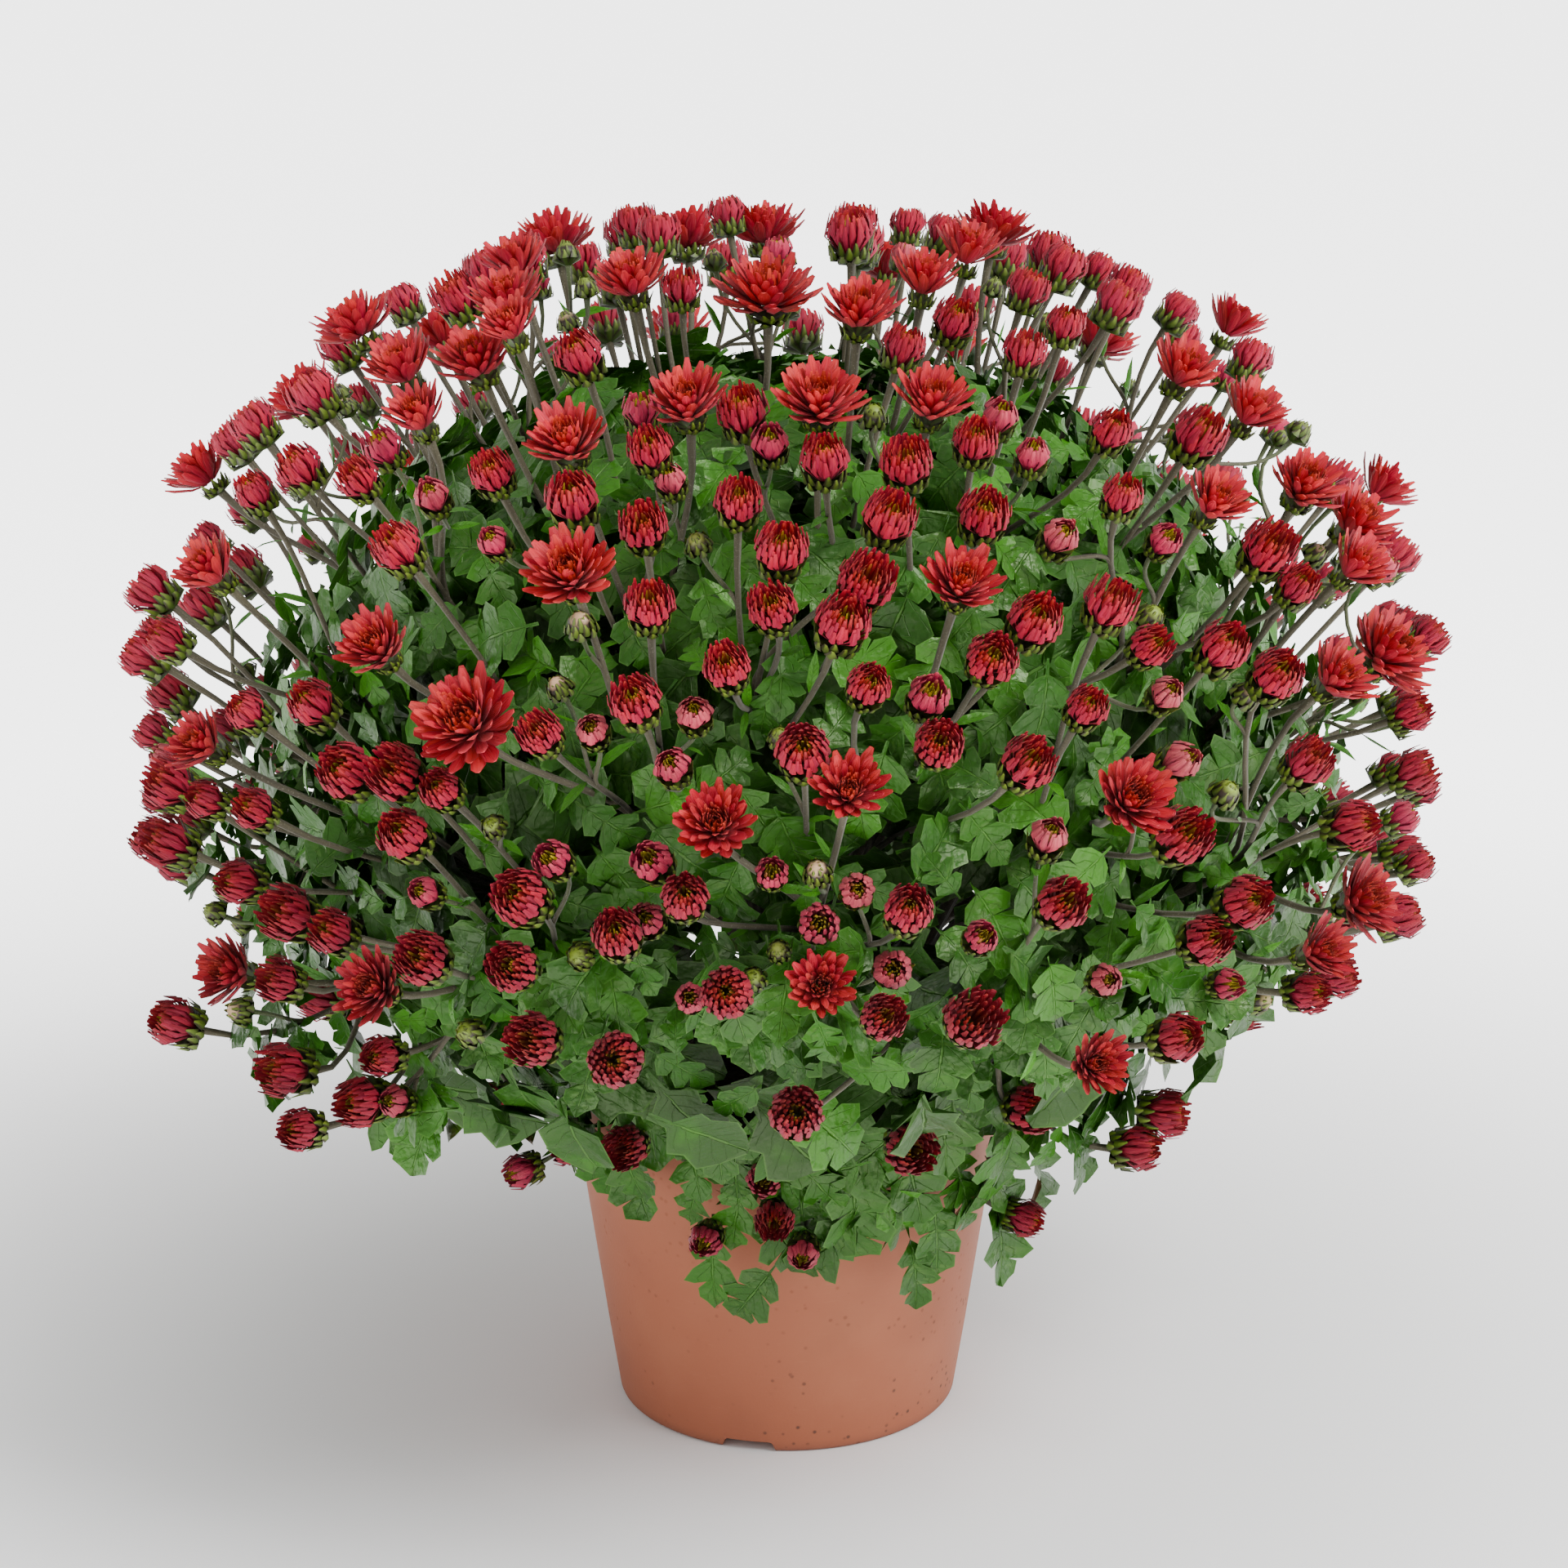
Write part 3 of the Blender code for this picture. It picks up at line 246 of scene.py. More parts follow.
def smooth(value):
    """0 below 0, 1 above 1, and an S-curve between."""
    value = np.clip(value, 0.0, 1.0)
    return value * value * (3 - 2 * value)


def heading(azimuth, polar):
    """The unit vector at an azimuth and an angle down from straight up, in degrees."""
    a, p = math.radians(azimuth), math.radians(polar)
    return Vector((math.sin(p) * math.sin(a), -math.sin(p) * math.cos(a), math.cos(p)))


def polar_of(point):
    """The angle down from straight up at which a point is seen from the dome's centre, in degrees."""
    v = point - DOME_CENTRE
    return math.degrees(math.atan2(math.hypot(v.x, v.y), v.z))


def dome_reach(polar):
    """How far the flower heads reach from the dome's centre."""
    if polar < 90:
        return DOME_TOP + (DOME_SIDE - DOME_TOP) * math.sin(math.radians(polar)) ** 2
    skirt = (polar - DOME_SKIRT_START) / (DOME_SKIRT_END - DOME_SKIRT_START)
    return DOME_SIDE - DOME_SKIRT_DROP * float(smooth(skirt))


def canopy_reach(polar):
    """How far the leaves reach from the dome's centre."""
    skirt = float(smooth((polar - CANOPY_RISES_FROM) / CANOPY_RISES_OVER))
    drop = CANOPY_DROP_TOP + (CANOPY_DROP_SKIRT - CANOPY_DROP_TOP) * skirt
    return dome_reach(polar) - drop


def shoot_of(point):
    """The number of the shoot that owns a point: 0 in the middle, then round from the front."""
    across = math.hypot(point.x, point.y)
    if across < CENTRE_SHOOT_RADIUS + CENTRE_SHOOT_FLARE * max(0.0, point.z - STALKS_FROM.z):
        return 0
    width = 360 / OUTER_SHOOTS
    return 1 + int(((math.degrees(math.atan2(point.x, -point.y)) + width / 2) % 360) // width)


def sight_line(px, py):
    """The direction in which the camera sees a pixel."""
    tilt = math.radians(CAMERA_TILT)
    rise = (MIDDLE_Y - py) / PIXELS_PER_RADIAN
    return Vector((
        (px - MIDDLE_X) / PIXELS_PER_RADIAN,
        math.cos(tilt) + math.sin(tilt) * rise,
        -math.sin(tilt) + math.cos(tilt) * rise,
    )).normalized()


def seen_points(px, py):
    """The points that lie behind a pixel, from the nearest to the farthest."""
    line = sight_line(px, py)
    for step in range(SIGHT_STEPS):
        yield CAMERA + line * (SIGHT_START + SIGHT_STEP * step)


def on_dome(px, py, depth):
    """The point at a depth under the dome that is seen at a pixel, or else the deepest one seen there."""
    deepest, found = -1.0, CAMERA
    for point in seen_points(px, py):
        here = dome_reach(polar_of(point)) - (point - DOME_CENTRE).length
        if here > deepest:
            deepest, found = here, point
        if here >= depth:
            break
    return found


def side_vectors(axis):
    """Two unit vectors square to an axis and to each other."""
    aside = axis.cross(UP)
    if aside.length < 0.01:
        aside = Vector((1, 0, 0))
    aside.normalize()
    return aside, axis.cross(aside).normalized()


def spread(count, last_polar):
    """Directions spread evenly over the dome, down to a polar angle in degrees."""
    lowest = math.cos(math.radians(last_polar))
    for number in range(count):
        height = 1 - (number + 0.5) / count * (1 - lowest)
        yield heading(number * GOLDEN_ANGLE % 360, math.degrees(math.acos(height)))


def kept_in_box(points):
    """The points, moved as one where they would leave the CAD model's box."""
    low, high = points.reshape(-1, 3).min(0), points.reshape(-1, 3).max(0)
    move = np.maximum(np.array(CAD_LOW) - low, 0) - np.maximum(high - np.array(CAD_HIGH), 0)
    return points + move


def at_distance(px, py, across):
    """The point at a distance from the pot's axis that is seen at a pixel."""
    for point in seen_points(px, py):
        if math.hypot(point.x, point.y) < across:
            return point
    raise ValueError(f"no point of the plant is seen at {px}, {py}")


def head_place(px, py, depth):
    """Where a head that is seen at a pixel stands: before the pot, or else at a depth under the dome."""
    left, top, right = POT_FRONT
    if left < px < right and py > top:
        return at_distance(px, py, POT_FRONT_RADIUS)
    return on_dome(px, py, depth)


class Head:
    """One flower head: where its petals stand, which way it looks, how wide it is and how far open."""

    def __init__(self, kind, middle, axis, radius, openness):
        self.kind, self.axis, self.radius, self.openness = kind, axis.normalized(), radius, openness
        reach = radius * HEAD_REACH[kind]
        corners = zip(middle, CAD_LOW, CAD_HIGH)
        self.middle = Vector([min(max(value, low + reach), high - reach) for value, low, high in corners])
        self.base = self.middle - self.axis * radius * HEAD_MIDDLES[kind]
        self.foot = self.base - self.axis * (CALYX_HEIGHT if kind == "bloom" else CALYX_SHARE * radius)

    def clear_of(self, others):
        """Whether this head doesn't run into another."""
        for other in others:
            if (self.middle - other.middle).length < HEADS_APART * (self.radius + other.radius):
                return False
        return True


def seated_bloom(node):
    """The open bloom that stands in for a CAD bloom, on the same stalk and as wide."""
    low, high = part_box(node)
    axis = ((low + high) / 2 - STALKS_FROM).normalized()
    points = np.array([v.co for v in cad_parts[node].data.vertices]) - np.array(STALKS_FROM)
    heights = points @ np.array(axis)
    across = np.linalg.norm(points - np.outer(heights, axis), axis=1)
    radius = float(across.max())
    middle = STALKS_FROM + axis * (float(heights.min()) + radius * HEAD_MIDDLES["bloom"])
    openness = float(smooth((radius - SHUT_RADIUS) / (OPEN_RADIUS - SHUT_RADIUS)))
    return Head("bloom", middle, axis, radius, openness)


@cache
def flower_heads():
    """All flower heads: first those on CAD blooms, then those at their pixels and those placed by rule."""
    rng = np.random.default_rng(SEED)
    flowers = bpy.context.scene.mum_flowers
    radii = {
        "bloom": flowers.small_bloom_radius, "cup": flowers.cup_radius, "opening": flowers.opening_radius,
        "bud": flowers.bud_radius,
    }
    heads = [seated_bloom(node) for node in bloom_nodes()]

    def add(kind, point, shifts):
        """Adds a head at a point, or at the first shift from it that is clear of the other heads."""
        radius = radii[kind] * rng.uniform(*HEAD_SIZES)
        out = (point - STALKS_FROM).normalized()
        axis = out + Vector(rng.uniform(-HEAD_LEAN, HEAD_LEAN, 3))
        openness = rng.random()
        for shift in shifts:
            head = Head(kind, point + out * shift, axis, radius, openness)
            if head.clear_of(heads):
                heads.append(head)
                return

    for px, py in SMALL_BLOOMS:
        add("bloom", on_dome(px, py, HEAD_DEPTHS["bloom"]), HEAD_SHIFTS)
    for px, py in CUP_HEADS:
        add("cup", head_place(px, py, HEAD_DEPTHS["cup"]), HEAD_SHIFTS)
    for px, py in YOUNG_HEADS:
        kind = "opening" if rng.random() < OPENING_SHARE else "bud"
        add(kind, head_place(px, py, HEAD_DEPTHS[kind]), HEAD_SHIFTS)
    kinds, shares = zip(*RULE_KINDS)
    for out in spread(RULE_HEADS, RULE_POLAR):
        polar = math.degrees(math.acos(out.z))
        kind = str(rng.choice(kinds, p=shares))
        point = DOME_CENTRE + out * (dome_reach(polar) - HEAD_DEPTHS[kind])
        to_camera = (CAMERA - point).normalized()
        if out.dot(to_camera) > RULE_FACING:
            continue
        wider = float(smooth((polar - RULE_WIDENS_FROM) / RULE_WIDENS_OVER))
        spacing = RULE_SPACING[0] + (RULE_SPACING[1] - RULE_SPACING[0]) * wider
        if all((point - other.middle).length > spacing for other in heads):
            add(kind, point, (0.0,))
    return tuple(heads)


def bloom_nodes():
    """The names of the CAD blooms, in order."""
    return sorted(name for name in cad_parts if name.startswith("bloom_"))


class Shape:
    """A modelled shape to be copied: its points, where each lies on it, and its faces."""

    def __init__(self, points, across, along, front, faces):
        self.points, self.across, self.along = points, across, along
        self.front, self.faces = front, faces


def model_blade(section, outline):
    """A closed blade, extruded ring by ring from a disc and then pressed to its section and outline.

    The section gives (across, thickness, 1 for the front or 0 for the back) of each corner,
    the outline (along, half width, forward sweep of the edge) of each ring.
    """
    sides, rings = len(section), len(outline)
    bpy.ops.object.select_all(action="DESELECT")
    bpy.ops.mesh.primitive_circle_add(vertices=sides, radius=1, fill_type="NGON")
    blade = bpy.context.object
    bpy.ops.object.mode_set(mode="EDIT")
    bpy.ops.mesh.select_all(action="SELECT")
    for _ in range(rings - 1):
        bpy.ops.mesh.extrude_region_move(TRANSFORM_OT_translate={"value": (0, 0, 1)})
    bpy.ops.mesh.select_all(action="SELECT")
    bpy.ops.mesh.normals_make_consistent(inside=False)
    bpy.ops.mesh.quads_convert_to_tris()
    bpy.ops.object.mode_set(mode="OBJECT")
    count = len(blade.data.vertices)
    points, across, along, front = np.zeros((count, 3)), np.zeros(count), np.zeros(count), np.zeros(count)
    for vertex in blade.data.vertices:
        ring = round(vertex.co.z)
        corner = round(math.degrees(math.atan2(vertex.co.y, vertex.co.x)) * sides / 360 - sides / 4) % sides
        share, thick, side = section[corner]
        forward, half_width, sweep = outline[ring]
        points[vertex.index] = (share * half_width, forward + sweep * abs(share) ** 1.5, thick * half_width)
        across[vertex.index], along[vertex.index], front[vertex.index] = share, forward, side
    faces = np.array([face.vertices[:] for face in blade.data.polygons])
    bpy.data.meshes.remove(blade.data)
    return Shape(points, across, along, front, faces)


def model_ball(segments, rings):
    """A closed ball of radius 1 with its poles on Y, the shapes' own length."""
    bpy.ops.object.select_all(action="DESELECT")
    bpy.ops.mesh.primitive_uv_sphere_add(
        segments=segments, ring_count=rings, radius=1, rotation=(-math.pi / 2, 0, 0),
    )
    ball = bpy.context.object
    bpy.ops.object.transform_apply(location=False, rotation=True, scale=False)
    bpy.ops.object.mode_set(mode="EDIT")
    bpy.ops.mesh.select_all(action="SELECT")
    bpy.ops.mesh.quads_convert_to_tris()
    bpy.ops.object.mode_set(mode="OBJECT")
    points = np.array([v.co for v in ball.data.vertices])
    faces = np.array([face.vertices[:] for face in ball.data.polygons])
    bpy.data.meshes.remove(ball.data)
    along = (points[:, 1] + 1) / 2
    return Shape(points, np.zeros(len(points)), along, np.ones(len(points)), faces)


# Sections, from the corner at the front round over the left: (across, thickness, front)
PETAL_SECTION = ((0.0, -0.10, 1.0), (-1.0, 0.0, 0.6), (0.0, -0.46, 0.0), (1.0, 0.0, 0.6))
THREE_SIDED = ((1.0, 0.0, 0.75), (-1.0, 0.0, 0.75), (0.0, -0.42, 0.0))
LEAF_SECTION = ((0.0, 0.0, 1.0), (-1.0, 0.0, 1.0), (0.0, -0.035, 0.0), (1.0, 0.0, 1.0))
LANCE_SECTION = ((0.0, -0.10, 1.0), (-1.0, 0.0, 0.8), (0.0, -0.30, 0.0), (1.0, 0.0, 0.8))

# Outlines: (along, half width, forward sweep of the edge)
LONG_PETAL = ((0.0, 0.42, 0.0), (0.42, 0.92, 0.0), (0.82, 1.0, 0.0), (1.0, 0.42, 0.0))
SHORT_PETAL = ((0.0, 0.55, 0.0), (0.66, 1.0, 0.0), (1.0, 0.46, 0.0))
BRACT = ((0.0, 0.70, 0.0), (0.58, 1.0, 0.0), (1.0, 0.22, 0.0))
LANCE = ((0.0, 0.20, 0.0), (0.30, 0.90, 0.0), (0.65, 0.80, 0.0), (1.0, 0.08, 0.0))
LOBED_LEAVES = (
    (
        (0.00, 0.014, 0.0), (0.15, 0.018, 0.0), (0.22, 0.13, -0.02), (0.29, 0.27, 0.04), (0.35, 0.21, 0.08),
        (0.41, 0.065, 0.02), (0.46, 0.21, 0.03), (0.53, 0.33, 0.11), (0.60, 0.25, 0.11), (0.66, 0.08, 0.03),
        (0.72, 0.19, 0.04), (0.80, 0.19, 0.07), (0.89, 0.11, 0.03), (1.00, 0.012, 0.0),
    ),
    (
        (0.00, 0.014, 0.0), (0.18, 0.017, 0.0), (0.26, 0.10, 0.0), (0.33, 0.22, 0.05), (0.39, 0.16, 0.06),
        (0.44, 0.055, 0.01), (0.50, 0.18, 0.03), (0.56, 0.28, 0.10), (0.62, 0.19, 0.09), (0.68, 0.07, 0.02),
        (0.74, 0.16, 0.04), (0.82, 0.15, 0.05), (0.90, 0.08, 0.02), (1.00, 0.010, 0.0),
    ),
    (
        (0.00, 0.015, 0.0), (0.13, 0.018, 0.0), (0.20, 0.18, -0.02), (0.27, 0.30, 0.04), (0.34, 0.25, 0.10),
        (0.40, 0.08, 0.03), (0.45, 0.26, 0.02), (0.52, 0.37, 0.11), (0.60, 0.29, 0.13), (0.66, 0.09, 0.04),
        (0.72, 0.23, 0.03), (0.80, 0.22, 0.09), (0.89, 0.13, 0.04), (1.00, 0.014, 0.0),
    ),
)
OLD_LEAF = (
    (0.0, 0.03, 0.0), (0.22, 0.06, 0.0), (0.34, 0.30, 0.02), (0.46, 0.24, 0.03), (0.62, 0.36, 0.06),
    (0.80, 0.24, 0.03), (1.0, 0.03, 0.0),
)

# Petals of a head, from the outermost to the middle. Each row gives its place between them, then in radii
# of the head: (out, up) of the petals' seat, belly and tip in an open head, (out, up) of their belly and tip
# in a shut one, and their half width.
FORMS = {
    "bloom": (
        (0.00, 0.14, 0.00, 0.62, 0.00, 1.00, 0.24, 0.48, 0.20, 1.00, 0.86, 0.142),
        (0.30, 0.14, 0.03, 0.54, 0.12, 0.96, 0.48, 0.42, 0.36, 0.90, 1.04, 0.136),
        (0.60, 0.13, 0.07, 0.40, 0.30, 0.76, 0.74, 0.32, 0.50, 0.68, 1.12, 0.116),
        (0.82, 0.12, 0.10, 0.30, 0.42, 0.54, 0.84, 0.26, 0.56, 0.48, 1.08, 0.092),
        (1.00, 0.11, 0.12, 0.24, 0.44, 0.38, 0.82, 0.20, 0.56, 0.34, 1.00, 0.074),
    ),
    "disc": (
        (0.00, 0.20, 0.10, 0.44, 0.48, 0.40, 0.78, 0.30, 0.60, 0.30, 0.96, 0.062),
        (0.50, 0.12, 0.14, 0.30, 0.50, 0.20, 0.70, 0.20, 0.62, 0.17, 0.88, 0.050),
        (1.00, 0.02, 0.16, 0.06, 0.42, 0.03, 0.54, 0.05, 0.56, 0.02, 0.74, 0.036),
    ),
    "cup": (
        (0.00, 0.36, 0.00, 1.24, 0.34, 1.04, 1.26, 1.22, 0.50, 0.84, 1.26, 0.132),
        (0.30, 0.34, 0.04, 1.18, 0.70, 0.96, 1.56, 1.16, 0.88, 0.70, 1.54, 0.124),
        (0.55, 0.28, 0.10, 0.98, 1.00, 0.74, 1.68, 0.98, 1.16, 0.48, 1.62, 0.106),
        (0.75, 0.20, 0.14, 0.72, 1.10, 0.50, 1.62, 0.72, 1.20, 0.30, 1.54, 0.084),
        (1.00, 0.08, 0.18, 0.36, 1.02, 0.22, 1.42, 0.36, 1.08, 0.10, 1.34, 0.058),
    ),
    "opening": (
        (0.00, 0.34, 0.00, 1.26, 0.50, 0.84, 1.44, 1.22, 0.66, 0.60, 1.52, 0.215),
        (0.45, 0.30, 0.05, 1.10, 0.95, 0.62, 1.66, 1.08, 1.04, 0.38, 1.62, 0.180),
        (0.70, 0.20, 0.10, 0.60, 1.05, 0.38, 1.56, 0.54, 1.12, 0.22, 1.50, 0.100),
        (1.00, 0.06, 0.15, 0.20, 1.00, 0.10, 1.42, 0.20, 1.00, 0.10, 1.42, 0.070),
    ),
    "bloom_bracts": (
        (0.00, 0.08, 0.00, 0.42, -0.02, 0.38, 0.16, 0.38, -0.02, 0.38, 0.22, 0.110),
        (0.50, 0.08, 0.02, 0.41, 0.02, 0.42, 0.22, 0.37, 0.02, 0.40, 0.34, 0.110),
        (1.00, 0.08, 0.04, 0.38, 0.08, 0.46, 0.30, 0.34, 0.08, 0.42, 0.46, 0.100),
    ),
    "cup_bracts": (
        (0.00, 0.12, 0.00, 1.02, -0.02, 0.88, 0.46, 1.02, -0.02, 0.86, 0.46, 0.230),
        (0.50, 0.12, 0.03, 0.98, 0.06, 0.92, 0.70, 0.98, 0.06, 0.88, 0.74, 0.225),
        (1.00, 0.12, 0.06, 0.92, 0.16, 0.96, 0.94, 0.92, 0.16, 0.92, 1.00, 0.205),
    ),
    "bud_bracts": (
        (0.00, 0.12, 0.00, 1.40, 0.20, 0.96, 1.00, 1.40, 0.20, 0.94, 1.00, 0.310),
        (0.50, 0.12, 0.02, 1.32, 0.42, 0.76, 1.42, 1.30, 0.46, 0.66, 1.48, 0.310),
        (1.00, 0.12, 0.04, 1.20, 0.70, 0.44, 1.74, 1.16, 0.80, 0.20, 1.84, 0.300),
    ),
}
PETALS = {"bloom": 70, "disc": 66, "cup": 88, "opening": 44}
BRACT_ROWS = 3
BRACTS_A_ROW = 8
SHUT_BLOOM_PETALS = 0.70
UNEVEN = {"bloom": 0.20, "bracts": 0.06, "other": 0.08}
PETAL_WAVER = 0.035
PETAL_WIDTHS = (0.86, 1.12)
PETAL_TURN = 0.08
PETAL_SWAY = 0.12
BRACT_SWAY = 0.4
PETAL_SHADES, BRACT_SHADES = (0.78, 1.18), (0.75, 1.15)


def in_scene(name, data):
    """A new object in the scene, with its data."""
    thing = bpy.data.objects.new(name, data)
    bpy.context.scene.collection.objects.link(thing)
    return thing


def blend_colours(first, second, share):
    """Colours between two, where share may be an array."""
    share = np.asarray(share, float)[..., None]
    return np.asarray(first, float) * (1 - share) + np.asarray(second, float) * share


def bent_petals(shape, foot, axis, petals):
    """Every point of a head's petals, each bent along a curve in its own plane through the head's axis."""
    first, second = (np.array(v) for v in side_vectors(axis))
    t = np.clip(shape.points[:, 1], 0, 1)[None, :, None]
    seat, belly, tip = (petals[key][:, None] for key in ("seat", "belly", "tip"))
    place = seat * (1 - t) ** 2 + belly * 2 * t * (1 - t) + tip * t ** 2
    ahead = (belly - seat) * (1 - t) + (tip - belly) * t
    ahead /= np.linalg.norm(ahead, axis=2)[..., None]
    thick = shape.points[None, :, 2] * petals["width"][:, None]
    far, high = place[..., 0] - ahead[..., 1] * thick, place[..., 1] + ahead[..., 0] * thick
    turn = petals["azimuth"][:, None] + petals["sway"][:, None] * shape.along[None]
    radial = np.cos(turn)[..., None] * first + np.sin(turn)[..., None] * second
    aside = np.cos(turn)[..., None] * second - np.sin(turn)[..., None] * first
    across = (shape.points[None, :, 0] * petals["width"][:, None])[..., None]
    return np.array(foot) + radial * far[..., None] + np.array(axis) * high[..., None] + aside * across


class Bunch:
    """Copies of modelled shapes, gathered into one mesh that carries its tint and where each point lies."""

    def __init__(self):
        self.points, self.faces, self.tints, self.grains, self.count = [], [], [], [], 0

    def add(self, shape, points, tints, rng):
        """Adds copies of a shape; points and tints are given for each copy and each of its points."""
        copies, size = len(points), len(shape.points)
        first = self.count + np.arange(copies) * size
        self.faces.append((shape.faces[None] + first[:, None, None]).reshape(-1, 3))
        self.points.append(points.reshape(-1, 3))
        self.tints.append(np.broadcast_to(tints, (copies, size, 3)).reshape(-1, 3))
        grain = np.empty((copies, size, 3))
        grain[..., 0], grain[..., 1] = shape.across, shape.along
        grain[..., 2] = rng.random((copies, 1))
        self.grains.append(grain.reshape(-1, 3))
        self.count += copies * size

    def piece(self, name, surface, sharp):
        """The finished piece, shaded smooth except over edges sharper than an angle in degrees."""
        points, faces = np.concatenate(self.points), np.concatenate(self.faces)
        mesh = bpy.data.meshes.new(name)
        mesh.vertices.add(len(points))
        mesh.vertices.foreach_set("co", points.astype(np.float32).ravel())
        mesh.loops.add(faces.size)
        mesh.loops.foreach_set("vertex_index", faces.astype(np.int32).ravel())
        mesh.polygons.add(len(faces))
        mesh.polygons.foreach_set("loop_start", np.arange(0, faces.size, 3, dtype=np.int32))
        mesh.update(calc_edges=True)
        tints = np.ones((len(points), 4), np.float32)
        tints[:, :3] = np.clip(np.concatenate(self.tints), 0, 1)
        mesh.attributes.new("tint", "FLOAT_COLOR", "POINT").data.foreach_set("color", tints.ravel())
        grains = np.concatenate(self.grains).astype(np.float32)
        mesh.attributes.new("grain", "FLOAT_VECTOR", "POINT").data.foreach_set("vector", grains.ravel())
        mesh.shade_smooth()
        mesh.set_sharp_from_angle(angle=math.radians(sharp))
        mesh.materials.append(surface)
        return in_scene(name, mesh)


class Value:
    """An output of a node. Arithmetic on it adds the Math nodes that do the same."""

    def __init__(self, finish, socket):
        self.finish, self.socket = finish, socket

    def math(self, operation, *values):
        """Adds a Math node on one or two values."""
        return self.finish.node("ShaderNodeMath", {"operation": operation}, dict(enumerate(values)))

    def __add__(self, other):
        return self.math("ADD", self, other)

    __radd__ = __add__

    def __sub__(self, other):
        return self.math("SUBTRACT", self, other)

    def __rsub__(self, other):
        return self.math("SUBTRACT", other, self)

    def __mul__(self, other):
        return self.math("MULTIPLY", self, other)

    __rmul__ = __mul__

    def __abs__(self):
        return self.math("ABSOLUTE", self)

    def between(self, low, high):
        """0 where this is at low, 1 where it is at high, smooth between."""
        inputs = {"Value": self, "From Min": low, "From Max": high}
        return self.finish.node("ShaderNodeMapRange", {"interpolation_type": "SMOOTHSTEP"}, inputs)


class Finish:
    """A material in the making."""

    def __init__(self, name):
        self.material = bpy.data.materials.new(name)
        self.material.use_nodes = True
        self.tree = self.material.node_tree
        self.tree.nodes.clear()

    def node(self, kind, settings=None, inputs=None, output=0):
        """Adds a node, with its settings first and then the values and links of its sockets."""
        node = self.tree.nodes.new(kind)
        for name, value in (settings or {}).items():
            setattr(node, name, value)
        for key, value in (inputs or {}).items():
            if isinstance(value, Value):
                self.tree.links.new(value.socket, node.inputs[key])
            else:
                node.inputs[key].default_value = value
        return Value(self, node.outputs[output]) if node.outputs else None

    def attribute(self, name, output):
        """What the points of the piece carry under a name."""
        return self.node("ShaderNodeAttribute", {"attribute_name": name}, output=output)

    def place(self):
        """The point on the piece, in metres."""
        return self.node("ShaderNodeTexCoord", output="Object")

    def stretched(self, vector, scale):
        """A vector, multiplied by a scale for each axis."""
        return self.node("ShaderNodeVectorMath", {"operation": "MULTIPLY"}, {0: vector, 1: scale})

    def split(self, vector):
        """The three numbers of a vector."""
        parts = self.node("ShaderNodeSeparateXYZ", inputs={0: vector}).socket.node.outputs
        return tuple(Value(self, part) for part in parts)

    def mottle(self, vector, scale, detail=3.0):
        """Cloudy noise from 0 to 1 on a vector."""
        return self.node("ShaderNodeTexNoise", inputs={"Vector": vector, "Scale": scale, "Detail": detail})

    def spots(self, vector, scale):
        """Distance to the nearest of many scattered points."""
        return self.node("ShaderNodeTexVoronoi", inputs={"Vector": vector, "Scale": scale})

    def mix(self, first, second, share):
        """Mixes colours by a share."""
        inputs = {0: share}
        for key, colour in ((6, first), (7, second)):
            inputs[key] = colour if isinstance(colour, Value) else (*colour, 1.0)
        return self.node("ShaderNodeMix", {"data_type": "RGBA"}, inputs, output=2)

    def coated(self, colour, *coats):
        """A colour under coats, each given as its colour and the share of it."""
        for coat, share in coats:
            colour = self.mix(colour, coat, share)
        return colour

    def bump(self, height, strength, distance):
        """A normal that rises and falls with a height."""
        inputs = {"Height": height, "Strength": strength, "Distance": distance}
        return self.node("ShaderNodeBump", inputs=inputs)

    def done(self, **sockets):
        """Ends in the shader, with values or links on its sockets, and gives the material."""
        inputs = {}
        for key, value in sockets.items():
            inputs[key.replace("_", " ")] = (*value, 1.0) if isinstance(value, tuple) else value
        shader = self.node("ShaderNodeBsdfPrincipled", inputs=inputs)
        self.node("ShaderNodeOutputMaterial", inputs={"Surface": shader})
        return self.material


def petal_finish():
    """Petals: the tint of each, darker at its edges, with fine streaks along it and a soft silky face."""
    finish = Finish("silky_petals")
    grain = finish.attribute("grain", "Vector")
    reach = abs(finish.split(grain)[0])
    streaks = finish.mottle(finish.stretched(grain, (3.2, 0.9, 61.0)), 2.2)
    blotches = finish.mottle(finish.place(), 210.0, 2.0)
    dark, light, blotch = (0.06, 0.002, 0.008), (0.82, 0.16, 0.19), (0.12, 0.003, 0.014)
    colour = finish.coated(
        finish.attribute("tint", "Color"),
        (dark, reach.between(0.60, 1.0) * 0.32),
        (dark, streaks.between(0.50, 0.26) * 0.45),
        (light, streaks.between(0.52, 0.80) * 0.32),
        (blotch, blotches.between(0.56, 0.80) * 0.25),
    )
    bump = finish.bump(streaks, 0.6, 0.0005)
    return finish.done(
        Base_Color=colour, Roughness=0.42 + streaks * 0.18, Normal=bump, Specular_IOR_Level=0.28,
        Sheen_Weight=0.05, Sheen_Roughness=0.4,
    )


